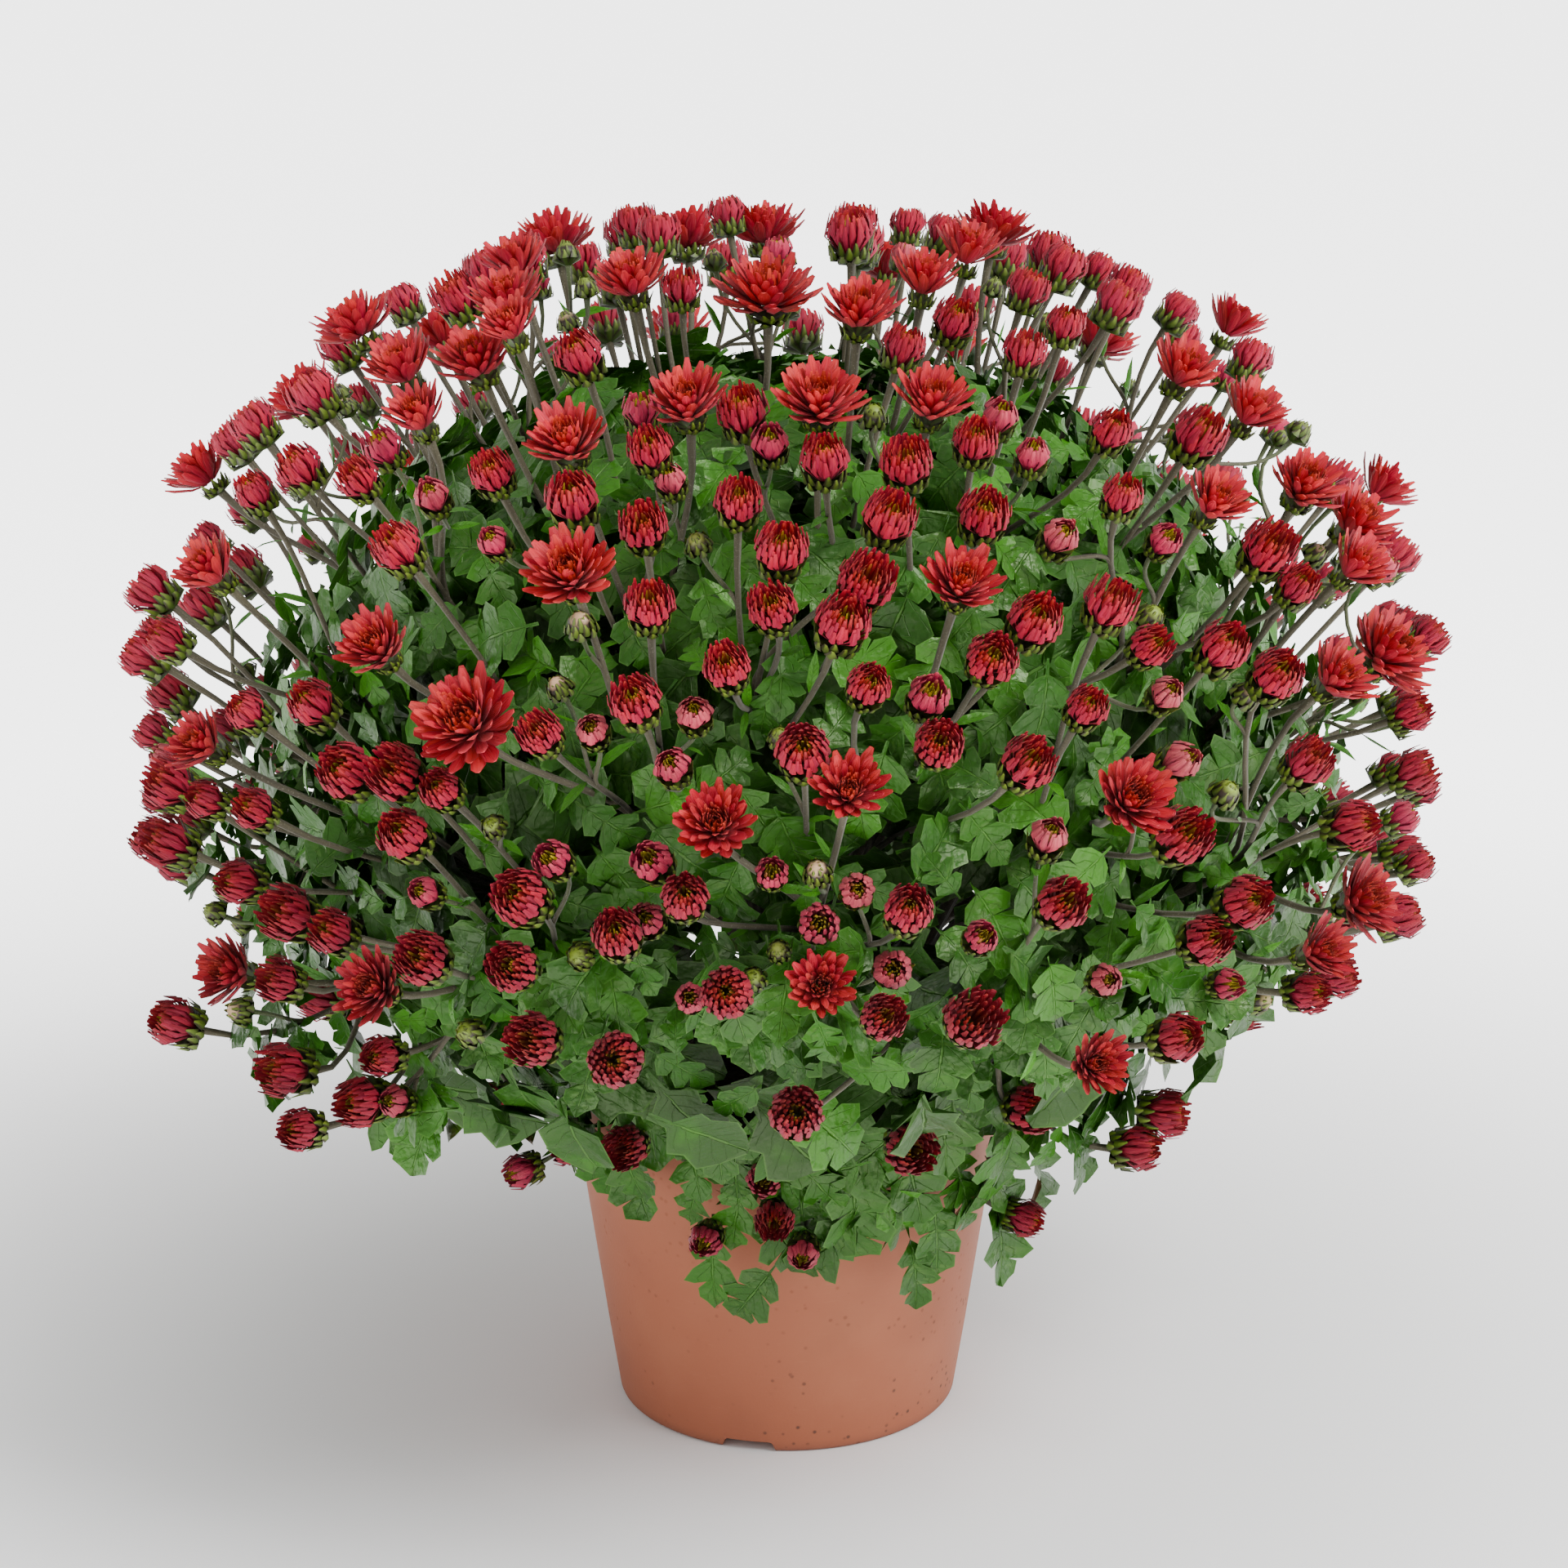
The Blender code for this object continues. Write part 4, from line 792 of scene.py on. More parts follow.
def bract_finish():
    """Bracts: waxy green with brown margins, a few brown flecks and fine lines."""
    flowers = bpy.context.scene.mum_flowers
    finish = Finish("waxy_bracts")
    grain = finish.attribute("grain", "Vector")
    reach = abs(finish.split(grain)[0])
    lines = finish.mottle(finish.stretched(grain, (4.0, 0.8, 43.0)), 2.0)
    flecks = finish.mottle(finish.place(), 700.0, 2.0)
    dark, line = tuple(flowers.bract_dark), paint(176, 184, 84)
    colour = finish.coated(
        finish.attribute("tint", "Color"),
        (dark, reach.between(0.34, 0.84) * 0.92),
        (dark, flecks.between(0.55, 0.75) * 0.35),
        (line, lines.between(0.56, 0.84) * 0.22),
    )
    bump = finish.bump(lines, 0.4, 0.0003)
    return finish.done(Base_Color=colour, Roughness=0.40 + flecks * 0.2, Normal=bump)


VEINS, VEIN_SLANT = 25.0, 0.16


def leaf_finish():
    """Leaves: glossy green with pale veins, a thin pale edge, a quilted blade and painted shade where its
    cloudy bump dips.
    """
    foliage = bpy.context.scene.mum_foliage
    finish = Finish("leaf_green")
    across, along, _ = finish.split(finish.attribute("grain", "Vector"))
    reach = abs(across)
    branch = abs(along.math("SINE", (along - reach * VEIN_SLANT) * VEINS))
    side_veins = branch.between(0.16, 0.02) * reach.between(0.95, 0.55)
    midrib = reach.between(0.075, 0.025)
    veins = along.math("MAXIMUM", side_veins * 0.55, midrib)
    cloud = finish.mottle(finish.place(), 62.0)
    fine = finish.mottle(finish.place(), 520.0)
    young, vein, hollow_shade = tuple(foliage.young), tuple(foliage.vein), (0.005, 0.018, 0.002)
    colour = finish.coated(
        finish.attribute("tint", "Color"),
        (young, cloud.between(0.50, 0.82) * 0.36),
        # Painted shade where the cloudy bump dips
        (hollow_shade, cloud.between(0.48, 0.20) * 0.32),
        (vein, veins * 0.26),
        (vein, reach.between(0.92, 1.0) * 0.30),
    )
    quilt = finish.mottle(finish.place(), 150.0, 2.0)
    bump = finish.bump(fine * 0.25 + cloud * 0.6 + quilt * 1.1 - veins * 0.7, 0.8, 0.0016)
    return finish.done(
        Base_Color=colour, Roughness=0.28 + cloud * 0.22, Normal=bump, Specular_IOR_Level=0.44,
        Specular_Tint=(0.90, 1.0, 0.70),
    )


def stem_finish():
    """Stems: ribbed along their length, with painted shade in the grooves between the ribs and fine grey
    hairs in the grain.
    """
    finish = Finish("hairy_stems")
    grain = finish.attribute("grain", "Vector")
    ribs = finish.mottle(finish.stretched(grain, (5.0, 2.2, 57.0)), 2.4)
    hairs = finish.mottle(finish.place(), 1500.0, 1.0)
    groove_shade, hair = paint(38, 32, 28), paint(170, 166, 146)
    colour = finish.coated(
        finish.attribute("tint", "Color"),
        # Painted shade in the grooves between the ribs
        (groove_shade, ribs.between(0.55, 0.30) * 0.6),
        (hair, hairs.between(0.60, 0.76) * 0.30),
    )
    bump = finish.bump(ribs * 0.5 + hairs * 0.5, 0.5, 0.0004)
    return finish.done(
        Base_Color=colour, Roughness=0.62 + hairs * 0.2, Normal=bump, Sheen_Weight=0.12, Sheen_Roughness=0.5,
    )


def plastic_finish():
    """Terracotta-coloured nursery plastic: soft sheen, scuffs, dust near the foot and dark specks of soil."""
    pot = bpy.context.scene.mum_pot
    finish = Finish("terracotta_plastic")
    place = finish.place()
    height = finish.split(place)[2]
    cloud = finish.mottle(place, 16.0, 5.0)
    scratches = finish.mottle(finish.stretched(place, (9.0, 9.0, 110.0)), 9.0, 4.0)
    pores = finish.mottle(place, 900.0, 2.0)
    specks = finish.spots(place, 210.0)
    often = finish.mottle(place, 45.0, 2.0)
    low = height.between(0.085, 0.0)
    speck_mask = specks.between(0.26, 0.09) * often.between(0.45, 0.60)
    scuff, speck, stain = tuple(pot.scuff), tuple(pot.speck), paint(134, 70, 44)
    colour = finish.coated(
        tuple(pot.plastic),
        (scuff, cloud.between(0.45, 0.80) * 0.45),
        (scuff, scratches.between(0.62, 0.78) * 0.30),
        (stain, cloud.between(0.45, 0.22) * 0.5),
        (speck, speck_mask * (0.25 + low * 0.75)),
        (speck, height.between(0.006, 0.0) * 0.35),
    )
    bump = finish.bump(pores * 0.5 + cloud * 0.3 - scratches * 0.2 + speck_mask * 0.5, 0.25, 0.0006)
    return finish.done(Base_Color=colour, Roughness=0.52 + cloud * 0.16 + speck_mask * 0.2, Normal=bump)


def soil_finish():
    """Dark peat with paler bark grains and painted shade in the pits between its lumps."""
    pot = bpy.context.scene.mum_pot
    finish = Finish("potting_soil")
    place = finish.place()
    lumps = finish.mottle(place, 160.0, 5.0)
    crumbs = finish.spots(place, 420.0)
    bark, pit_shade = tuple(pot.bark), (0.004, 0.003, 0.002)
    colour = finish.coated(
        finish.attribute("tint", "Color"),
        # Painted shade, nearly black, in the pits between the lumps
        (pit_shade, lumps.between(0.58, 0.32) * 0.8),
        (bark, crumbs.between(0.22, 0.05) * lumps.between(0.45, 0.7) * 0.6),
    )
    bump = finish.bump(lumps + crumbs * 0.4, 0.8, 0.002)
    return finish.done(Base_Color=colour, Roughness=0.86 + lumps * 0.12, Normal=bump)


GLOW_FROM, GLOW_TO = 0.16, 1.1


def floor_finish():
    """A plain pale floor with a hardly visible grain, which glows more strongly far from the pot, a painted
    light.
    """
    stage = bpy.context.scene.mum_stage
    finish = Finish("pale_floor")
    cloud = finish.mottle(finish.place(), 3.0)
    length = {"operation": "LENGTH"}
    distance = finish.node("ShaderNodeVectorMath", length, {0: finish.place()}, output="Value")
    # Painted glow: none near the pot, rising to full far from it
    glow = finish.mix((0.0, 0.0, 0.0), (1.0, 1.0, 1.0), distance.between(GLOW_FROM, GLOW_TO))
    colour = finish.mix(tuple(stage.floor), (0.86, 0.86, 0.86), cloud * 0.25)
    return finish.done(
        Base_Color=colour, Roughness=0.7 + cloud * 0.1, Emission_Color=glow, Emission_Strength=stage.glow,
    )


# Painted shade at the petals' bases, deep in the head where the petals crowd: how much it darkens them
PAINTED_BASE_SHADE, DISC_PAINTED_BASE_SHADE = 0.62, 0.5
# Painted shade on heads low on the plant, away from the light: from which polar angle, over how many degrees,
# and how much
LOW_HEADS_FROM, LOW_HEADS_OVER, LOW_HEADS_PAINTED_SHADE = 62.0, 40.0, 0.34


def two_faced(shape, back, front):
    """Colours of every point of copies of a shape, whose backs and fronts have a colour each."""
    return back[:, None] * (1 - shape.front[None, :, None]) + front[:, None] * shape.front[None, :, None]


def petal_tints(shape, share, kind, head, rng):
    """Colours of a head's petals, from the outermost to the middle, with painted shade at each petal's base.
    """
    flowers = bpy.context.scene.mum_flowers
    any_share = rng.random(len(share))
    base_shade = DISC_PAINTED_BASE_SHADE if kind == "disc" else PAINTED_BASE_SHADE
    if kind == "bloom":
        front = blend_colours(flowers.red, flowers.orange, any_share * 0.36)
        back = blend_colours(flowers.dusty, flowers.red, 0.35 + 0.5 * any_share)
        tip = blend_colours(flowers.red, flowers.salmon, any_share ** 1.6 * 0.7)
    elif kind == "disc":
        front = blend_colours(flowers.red, flowers.heart, 0.35 + 0.5 * share)
        back = blend_colours(flowers.orange, flowers.red, any_share * 0.8)
        back = blend_colours(back, flowers.heart, smooth((share - 0.72) / 0.28) * 0.75)
        tip = blend_colours(flowers.orange, flowers.salmon, any_share * 0.8)
        tip = blend_colours(tip, flowers.heart, smooth((share - 0.75) / 0.25) * 0.7)
    elif kind == "cup":
        inner = smooth((share - 0.42) / 0.25)
        middle = smooth((share - 0.86) / 0.09) * smooth(1.5 - 1.3 * head.openness)
        front = blend_colours(flowers.crimson, flowers.red, any_share)
        back = blend_colours(flowers.dusty, flowers.crimson, 0.35 + 0.5 * any_share)
        back = blend_colours(back, flowers.orange, inner * 0.45)
        tip = blend_colours(front, flowers.orange, inner * (0.35 + 0.65 * any_share))
        front, back, tip = (blend_colours(colour, flowers.yellow, middle) for colour in (front, back, tip))
    else:
        inside = smooth((share - 0.60) / 0.1)
        back = blend_colours(flowers.pale_tip, flowers.rosy, smooth(0.55 + 0.9 * head.openness))
        front = blend_colours(flowers.dusty, flowers.yellow, inside)
        tip = blend_colours(back, flowers.pale_tip, 0.1 + 0.25 * any_share)
        back, tip = (blend_colours(colour, flowers.yellow, inside) for colour in (back, tip))
    colour = two_faced(shape, back, front)
    to_tip = (smooth((shape.along - 0.60) / 0.40) * 0.8)[None, :, None]
    colour = colour * (1 - to_tip) + tip[:, None] * to_tip
    # Painted shade at each petal's base, stronger on its front
    shade = 1 - base_shade * (0.3 + 0.7 * shape.front) * (1 - smooth(shape.along / 0.6))
    # Painted shade on heads low on the plant, on top of each petal's random brightness
    low = smooth((polar_of(head.middle) - LOW_HEADS_FROM) / LOW_HEADS_OVER)
    bright = rng.uniform(*PETAL_SHADES, len(share)) * (1 - LOW_HEADS_PAINTED_SHADE * low)
    return colour * shade[None, :, None] * bright[:, None, None]


def curved_petals(kind, head, share, uneven, rng):
    """The curves of a head's petals or bracts, for their places between the outermost and the middle."""
    rows = np.array(FORMS[kind])
    columns = np.array([np.interp(share, rows[:, 0], column) for column in rows[:, 1:].T]).T * head.radius
    seat, width = columns[:, 0:2], columns[:, 10]
    belly = columns[:, 6:8] + (columns[:, 2:4] - columns[:, 6:8]) * head.openness
    tip = columns[:, 8:10] + (columns[:, 4:6] - columns[:, 8:10]) * head.openness
    count = len(share)
    longer = 1 + rng.uniform(-uneven, uneven * 0.6, (count, 1))
    waver = rng.normal(0, PETAL_WAVER * head.radius, (count, 2))
    return {
        "seat": seat,
        "belly": seat + (belly - seat) * longer,
        "tip": seat + (tip - seat) * longer + waver,
        "width": width * rng.uniform(*PETAL_WIDTHS, count),
        "sway": rng.uniform(-PETAL_SWAY, PETAL_SWAY, count),
    }


def head_petals(shape, head, kind, rng):
    """The petals of one head, spiralling from the outermost to the middle, or those of a bloom's disc."""
    count = PETALS[kind]
    if kind == "bloom":
        count = round(count * (SHUT_BLOOM_PETALS + (1 - SHUT_BLOOM_PETALS) * head.openness))
    share = (np.arange(count) + 0.5) / count
    petals = curved_petals(kind, head, share, UNEVEN["bloom" if kind == "bloom" else "other"], rng)
    turned = np.radians(np.arange(count) * GOLDEN_ANGLE) + rng.uniform(0, 2 * math.pi)
    petals["azimuth"] = turned + rng.uniform(-PETAL_TURN, PETAL_TURN, count)
    points = bent_petals(shape, head.base, head.axis, petals)
    return points, petal_tints(shape, share, kind, head, rng)


def head_bracts(shape, head, rng):
    """The rows of overlapping bracts under a head, or over the whole of a bud."""
    flowers = bpy.context.scene.mum_flowers
    row, place = np.divmod(np.arange(BRACT_ROWS * BRACTS_A_ROW), BRACTS_A_ROW)
    kind = {"bloom": "bloom_bracts", "bud": "bud_bracts"}.get(head.kind, "cup_bracts")
    bracts = curved_petals(kind, head, row / (BRACT_ROWS - 1), UNEVEN["bracts"], rng)
    turned = 2 * math.pi * (place + row * 0.5) / BRACTS_A_ROW + rng.uniform(0, 2 * math.pi)
    bracts["azimuth"] = turned + rng.uniform(-PETAL_TURN, PETAL_TURN, len(row))
    bracts["sway"] *= BRACT_SWAY
    points = bent_petals(shape, head.foot, head.axis, bracts)
    tints = blend_colours(flowers.bract, flowers.bract_tip, smooth((shape.along - 0.5) / 0.45))
    return points, tints[None] * rng.uniform(*BRACT_SHADES, (len(row), 1, 1))


def seat_piece(piece, nodes=()):
    """Seats a finished piece on the frame, in place of CAD nodes."""
    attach(piece, "root")
    if nodes:
        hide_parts(*nodes)


# Flower heads: how many of the CAD blooms make the front piece, and the edges that stay sharp, in degrees
FRONT_BLOOMS = 26
PETAL_SHARP = 75
BUD_CORE, BUD_CORE_HEIGHT = 0.84, 0.86


class MUM_OT_open_blooms(bpy.types.Operator):
    """Open blooms: layers of bent petals round a dense disc, in place of the CAD blooms"""

    bl_idname = "mum.open_blooms"
    bl_label = "Open blooms"

    def execute(self, context):
        rng = np.random.default_rng(SEED + 1)
        shapes = {
            "bloom": model_blade(PETAL_SECTION, LONG_PETAL), "disc": model_blade(THREE_SIDED, SHORT_PETAL),
        }
        surface = petal_finish()
        blooms = [head for head in flower_heads() if head.kind == "bloom"]
        nodes = bloom_nodes()
        half, last = FRONT_BLOOMS, len(nodes)
        for name, first, end in (
            ("open_blooms_front", 0, half), ("open_blooms_sides_and_back", half, last),
            ("small_open_blooms", last, len(blooms)),
        ):
            bunch = Bunch()
            for head in blooms[first:end]:
                for kind, shape in shapes.items():
                    points, tints = head_petals(shape, head, kind, rng)
                    bunch.add(shape, kept_in_box(points), tints, rng)
            seat_piece(bunch.piece(name, surface, PETAL_SHARP), nodes[first:end])
        return {"FINISHED"}


class MUM_OT_cups(bpy.types.Operator):
    """Cup heads, and smaller heads that begin to open: tight cups of upright petals"""

    bl_idname = "mum.cups"
    bl_label = "Cup heads"

    def execute(self, context):
        rng = np.random.default_rng(SEED + 2)
        petal = model_blade(THREE_SIDED, SHORT_PETAL)
        surface = petal_finish()
        groups = {"cup_heads_front": Bunch(), "cup_heads_back": Bunch(), "opening_heads": Bunch()}
        for head in flower_heads():
            if head.kind not in ("cup", "opening"):
                continue
            name = "opening_heads"
            if head.kind == "cup":
                name = "cup_heads_front" if head.middle.y < 0 else "cup_heads_back"
            points, tints = head_petals(petal, head, head.kind, rng)
            groups[name].add(petal, kept_in_box(points), tints, rng)
        for name, bunch in groups.items():
            seat_piece(bunch.piece(name, surface, PETAL_SHARP))
        return {"FINISHED"}


class MUM_OT_bracts(bpy.types.Operator):
    """Green buds, and the bracts under every other head"""

    bl_idname = "mum.bracts"
    bl_label = "Buds and bracts"

    def execute(self, context):
        rng = np.random.default_rng(SEED + 3)
        flowers = context.scene.mum_flowers
        bract = model_blade(THREE_SIDED, BRACT)
        ball = model_ball(8, 6)
        surface = bract_finish()
        calyces, buds = Bunch(), Bunch()
        for head in flower_heads():
            points, tints = head_bracts(bract, head, rng)
            bunch = buds if head.kind == "bud" else calyces
            bunch.add(bract, kept_in_box(points), tints, rng)
            if head.kind == "bud":
                first, second = side_vectors(head.axis)
                turned = np.array([first, head.axis, -second])
                core = head.foot + head.axis * head.radius * BUD_CORE_HEIGHT
                points = ball.points @ turned * head.radius * BUD_CORE + np.array(core)
                top = blend_colours(flowers.bract_tip, flowers.wool, smooth(2.4 * rng.random() - 1.4))
                tints = blend_colours(flowers.bract_dark, top, smooth((ball.along - 0.80) / 0.10))
                buds.add(ball, kept_in_box(points[None]), tints[None], rng)
        seat_piece(calyces.piece("calyces", surface, PETAL_SHARP))
        seat_piece(buds.piece("green_buds", surface, PETAL_SHARP))
        return {"FINISHED"}


# Leaves: (count, depth under the canopy, length, darkness as painted shade, whether lobed) of each layer
LEAF_LAYERS = (
    (620, -0.003, 0.88, 0.04, True), (520, 0.010, 1.00, 0.18, True), (400, 0.024, 1.18, 0.40, False),
    (460, 0.040, 1.36, 0.80, False),
)
LEAF_LAST_POLAR = 124.0
LEAF_LENGTHS = (0.62, 1.08)
LEAF_TRIES = 4
LEAF_SEAT = 0.55
LEAF_LEAN, LEAF_UNEVEN = 0.06, 0.005
LEAF_SPIN = 78.0
LEAF_TILTS = (-30.0, 24.0)
LEAF_DROOPS = (5, 85)
LEAF_FOLDS = (-0.05, 0.50)
LEAF_WAVES, LEAF_WAVE_HEIGHT = 13, 0.07
LEAF_YOUNGEST, LEAF_SHADES = 0.7, (0.8, 1.15)
BEND_STEPS = 12
# Painted light on the top of the plant: leaves within this polar angle keep only this share of their painted
# shade
LIT_POLAR, LIT_DARKNESS = 56.0, 0.3
LEAF_SHARP = 60

# Leaves low on the plant: on the stems of the lowest heads, round the pot's rim, deep inside and over the pot
SKIRT_POLAR, SKIRT_LENGTH = 92.0, 0.85
SKIRT_LEAVES, SKIRT_SPIN, SKIRT_ASIDE = 5, 50.0, 0.42
SKIRT_LENGTHS, RIM_LENGTHS, HANGING_LENGTHS = (0.55, 1.0), (0.8, 1.1), (0.7, 1.0)
# The most painted shade, at random, on leaves of the low stems, round the rim and over the pot
SKIRT_DARKEST, RIM_DARKEST, HANGING_DARKEST = 0.3, 0.4, 0.25
RIM_LEAVES, RIM_SPIN, RIM_TILTS = 96, 28, (-8, 22)
RIM_RING, RIM_HEIGHTS, RIM_POLARS = (0.110, 0.156), (0.138, 0.190), (88, 112)
# Leaves deep inside, tinted dark with painted shade
INNER_LEAVES, INNER_PAINTED_SHADE, INNER_POLAR = 110, 0.7, 110
INNER_RING, INNER_HEIGHTS = (0.140, 0.205), (0.175, 0.215)
HANGING_SPIN, HANGING_TILTS, HANGING_DEPTH = 26, (-6, 14), 0.006
HANGING_LEAVES = (
    (870, 1555), (918, 1590), (960, 1520), (1005, 1535), (845, 1475), (1125, 1560), (1150, 1520),
    (1230, 1525), (1190, 1480), (1050, 1500), (900, 1490), (780, 1450), (1080, 1475), (1000, 1470),
    (735, 1430), (1010, 1400), (1060, 1420), (1180, 1400), (1220, 1430), (1250, 1400), (1180, 1450),
    (1240, 1470), (960, 1440), (900, 1440), (820, 1400), (760, 1400), (715, 1400), (850, 1430),
    (1120, 1450), (1110, 1500), (930, 1400), (1275, 1450),
)

# How far leaves stay from the pot, from the floor and, in radii, from the heads that are near
POT_CLEAR, FLOOR_CLEAR = 0.0015, 0.01
HEAD_NEAR, HEAD_CLEAR = 0.07, 0.92


def bent_leaf(shape, root, direction, normal, length, droop, fold, wave):
    """Every point of one leaf, which arches along its midrib, folds up at its sides and waves at its edge."""
    side = np.cross(normal, direction)
    time = np.linspace(0, 1, BEND_STEPS + 1)
    angle = np.radians(droop) * time ** 1.4
    middle = (angle[1:] + angle[:-1]) / 2
    ahead = np.concatenate([[0], np.cumsum(np.cos(middle))]) / BEND_STEPS
    down = np.concatenate([[0], np.cumsum(np.sin(middle))]) / BEND_STEPS
    y = np.clip(shape.points[:, 1], 0, 1)
    x = shape.points[:, 0]
    bend = np.interp(y, time, angle)
    ripple = wave[0] * np.sin(y * LEAF_WAVES + wave[1]) * shape.across * LEAF_WAVE_HEIGHT
    lift = shape.points[:, 2] + fold * np.abs(x) + ripple
    far = np.interp(y, time, ahead) + np.sin(bend) * lift
    low = np.interp(y, time, down) - np.cos(bend) * lift
    points = direction * far[:, None] - normal * low[:, None] + side * x[:, None]
    return np.array(root) + points * length


def leaf_frame(out, spin, tilt):
    """(direction, normal) of a leaf on the canopy: spun from straight downhill and tilted off the surface."""
    downhill = -UP + out * out.dot(UP)
    if downhill.length < 0.05:
        downhill = Vector((0, -1, 0)) + out * out.y
    downhill.normalize()
    aside = out.cross(downhill).normalized()
    a, t = math.radians(spin), math.radians(tilt)
    flat = downhill * math.cos(a) + aside * math.sin(a)
    direction = flat * math.cos(t) + out * math.sin(t)
    normal = out * math.cos(t) - flat * math.sin(t)
    return np.array(direction.normalized()), np.array(normal.normalized())


@cache
def pot_size():
    """The pot's radius and height."""
    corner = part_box("pot")[1]
    return corner.x, corner.z


def cuts_pot(points):
    """Whether a leaf would run into the pot or the floor."""
    radius, height = pot_size()
    across = np.hypot(points[:, 0], points[:, 1])
    in_pot = (across < radius + POT_CLEAR) & (points[:, 2] < height + POT_CLEAR)
    return bool(in_pot.any() or (points[:, 2] < FLOOR_CLEAR).any())


@cache
def head_spheres():
    """Middles and radii of all flower heads."""
    heads = flower_heads()
    return np.array([head.middle for head in heads]), np.array([head.radius for head in heads])


def hits_head(points):
    """Whether a leaf would run into a flower head."""
    middles, radii = head_spheres()
    near = np.linalg.norm(middles - points.mean(0), axis=1) < HEAD_NEAR
    if not near.any():
        return False
    gaps = np.linalg.norm(points[:, None] - middles[None, near], axis=2)
    return bool((gaps < radii[near] * HEAD_CLEAR).any())


class MUM_OT_leaves(bpy.types.Operator):
    """Leaves: lobed blades over plain old ones, and more round the pot's rim, in place of the CAD shoots"""

    bl_idname = "mum.leaves"
    bl_label = "Leaves"

    def execute(self, context):
        rng = np.random.default_rng(SEED + 4)
        foliage = context.scene.mum_foliage
        lobed_shapes = [model_blade(LEAF_SECTION, outline) for outline in LOBED_LEAVES]
        old_shape = model_blade(LANCE_SECTION, OLD_LEAF)
        surface = leaf_finish()
        shoots = [Bunch() for _ in SHOOT_NAMES]

        def add(middle, out, length, dark, spin, tilts, lobed):
            """Adds a leaf at a point, unless it would run into the pot or a head each time it is tried."""
            shape = lobed_shapes[rng.integers(len(lobed_shapes))] if lobed else old_shape
            for _ in range(LEAF_TRIES):
                direction, normal = leaf_frame(out, rng.normal(0, spin), rng.uniform(*tilts))
                root = np.array(middle) - direction * length * LEAF_SEAT
                wave = (rng.uniform(-1, 1), rng.uniform(0, 6))
                droop, fold = rng.uniform(*LEAF_DROOPS), rng.uniform(*LEAF_FOLDS)
                points = kept_in_box(bent_leaf(shape, root, direction, normal, length, droop, fold, wave))
                if not (cuts_pot(points) or hits_head(points)):
                    break
            else:
                return
            young = rng.random() ** 3 * LEAF_YOUNGEST * (1 - dark)
            top = blend_colours(foliage.grown, foliage.young, young)
            # Leaves high on the plant keep less painted shade, a painted light on the top
            if polar_of(Vector(middle)) < LIT_POLAR:
                dark *= LIT_DARKNESS
            # The leaf's painted shade: its colour darkened towards the deep colour
            top = blend_colours(top, foliage.deep, dark)
            under = blend_colours(foliage.underside, foliage.deep, dark)
            tints = two_faced(shape, under[None], top[None]) * rng.uniform(*LEAF_SHADES)
            shoots[shoot_of(Vector(middle))].add(shape, points[None], tints, rng)

        for count, depth, size, dark, lobed in LEAF_LAYERS:
            for out in spread(count, LEAF_LAST_POLAR):
                polar = math.degrees(math.acos(out.z))
                out = (out + Vector(rng.uniform(-LEAF_LEAN, LEAF_LEAN, 3))).normalized()
                reach = canopy_reach(polar) - depth + rng.uniform(-LEAF_UNEVEN, LEAF_UNEVEN)
                middle = DOME_CENTRE + out * reach
                length = foliage.leaf_length * size * rng.uniform(*LEAF_LENGTHS)
                if polar > SKIRT_POLAR:
                    length *= SKIRT_LENGTH
                add(middle, out, length, dark, LEAF_SPIN, LEAF_TILTS, lobed)
        for head, (path, _, _, _) in zip(flower_heads(), branching()):
            if polar_of(head.middle) < SKIRT_POLAR:
                continue
            for ring in rng.integers(1, STEM_RINGS - 2, SKIRT_LEAVES):
                length = foliage.leaf_length * rng.uniform(*SKIRT_LENGTHS)
                aside = heading(rng.uniform(0, 360), rng.uniform(60, 170)) * length * SKIRT_ASIDE
                middle = Vector(path[ring]) + aside
                dark = rng.uniform(0, SKIRT_DARKEST)
                add(middle, head.axis, length, dark, SKIRT_SPIN, LEAF_TILTS, True)
        for number in range(RIM_LEAVES):
            azimuth = number * 360 / RIM_LEAVES + rng.uniform(-3, 3)
            out = heading(azimuth, rng.uniform(*RIM_POLARS))
            middle = heading(azimuth, 90) * rng.uniform(*RIM_RING) + UP * rng.uniform(*RIM_HEIGHTS)
            length = foliage.leaf_length * rng.uniform(*RIM_LENGTHS)
            add(middle, out, length, rng.uniform(0, RIM_DARKEST), RIM_SPIN, RIM_TILTS, True)
        for number in range(INNER_LEAVES):
            azimuth = number * GOLDEN_ANGLE
            middle = heading(azimuth, 90) * rng.uniform(*INNER_RING) + UP * rng.uniform(*INNER_HEIGHTS)
            out = heading(azimuth, INNER_POLAR)
            add(middle, out, foliage.leaf_length, INNER_PAINTED_SHADE, LEAF_SPIN, LEAF_TILTS, False)
        for px, py in HANGING_LEAVES:
            middle = at_distance(px, py, POT_FRONT_RADIUS - HANGING_DEPTH)
            out = Vector((middle.x, middle.y, 0.02)).normalized()
            length = foliage.leaf_length * rng.uniform(*HANGING_LENGTHS)
            add(middle, out, length, rng.uniform(0, HANGING_DARKEST), HANGING_SPIN, HANGING_TILTS, True)
        for name, bunch in zip(SHOOT_NAMES, shoots):
            piece = bunch.piece(name.replace("leafy_shoot", "leaves"), surface, LEAF_SHARP)
            seat_piece(piece, [name])
        return {"FINISHED"}


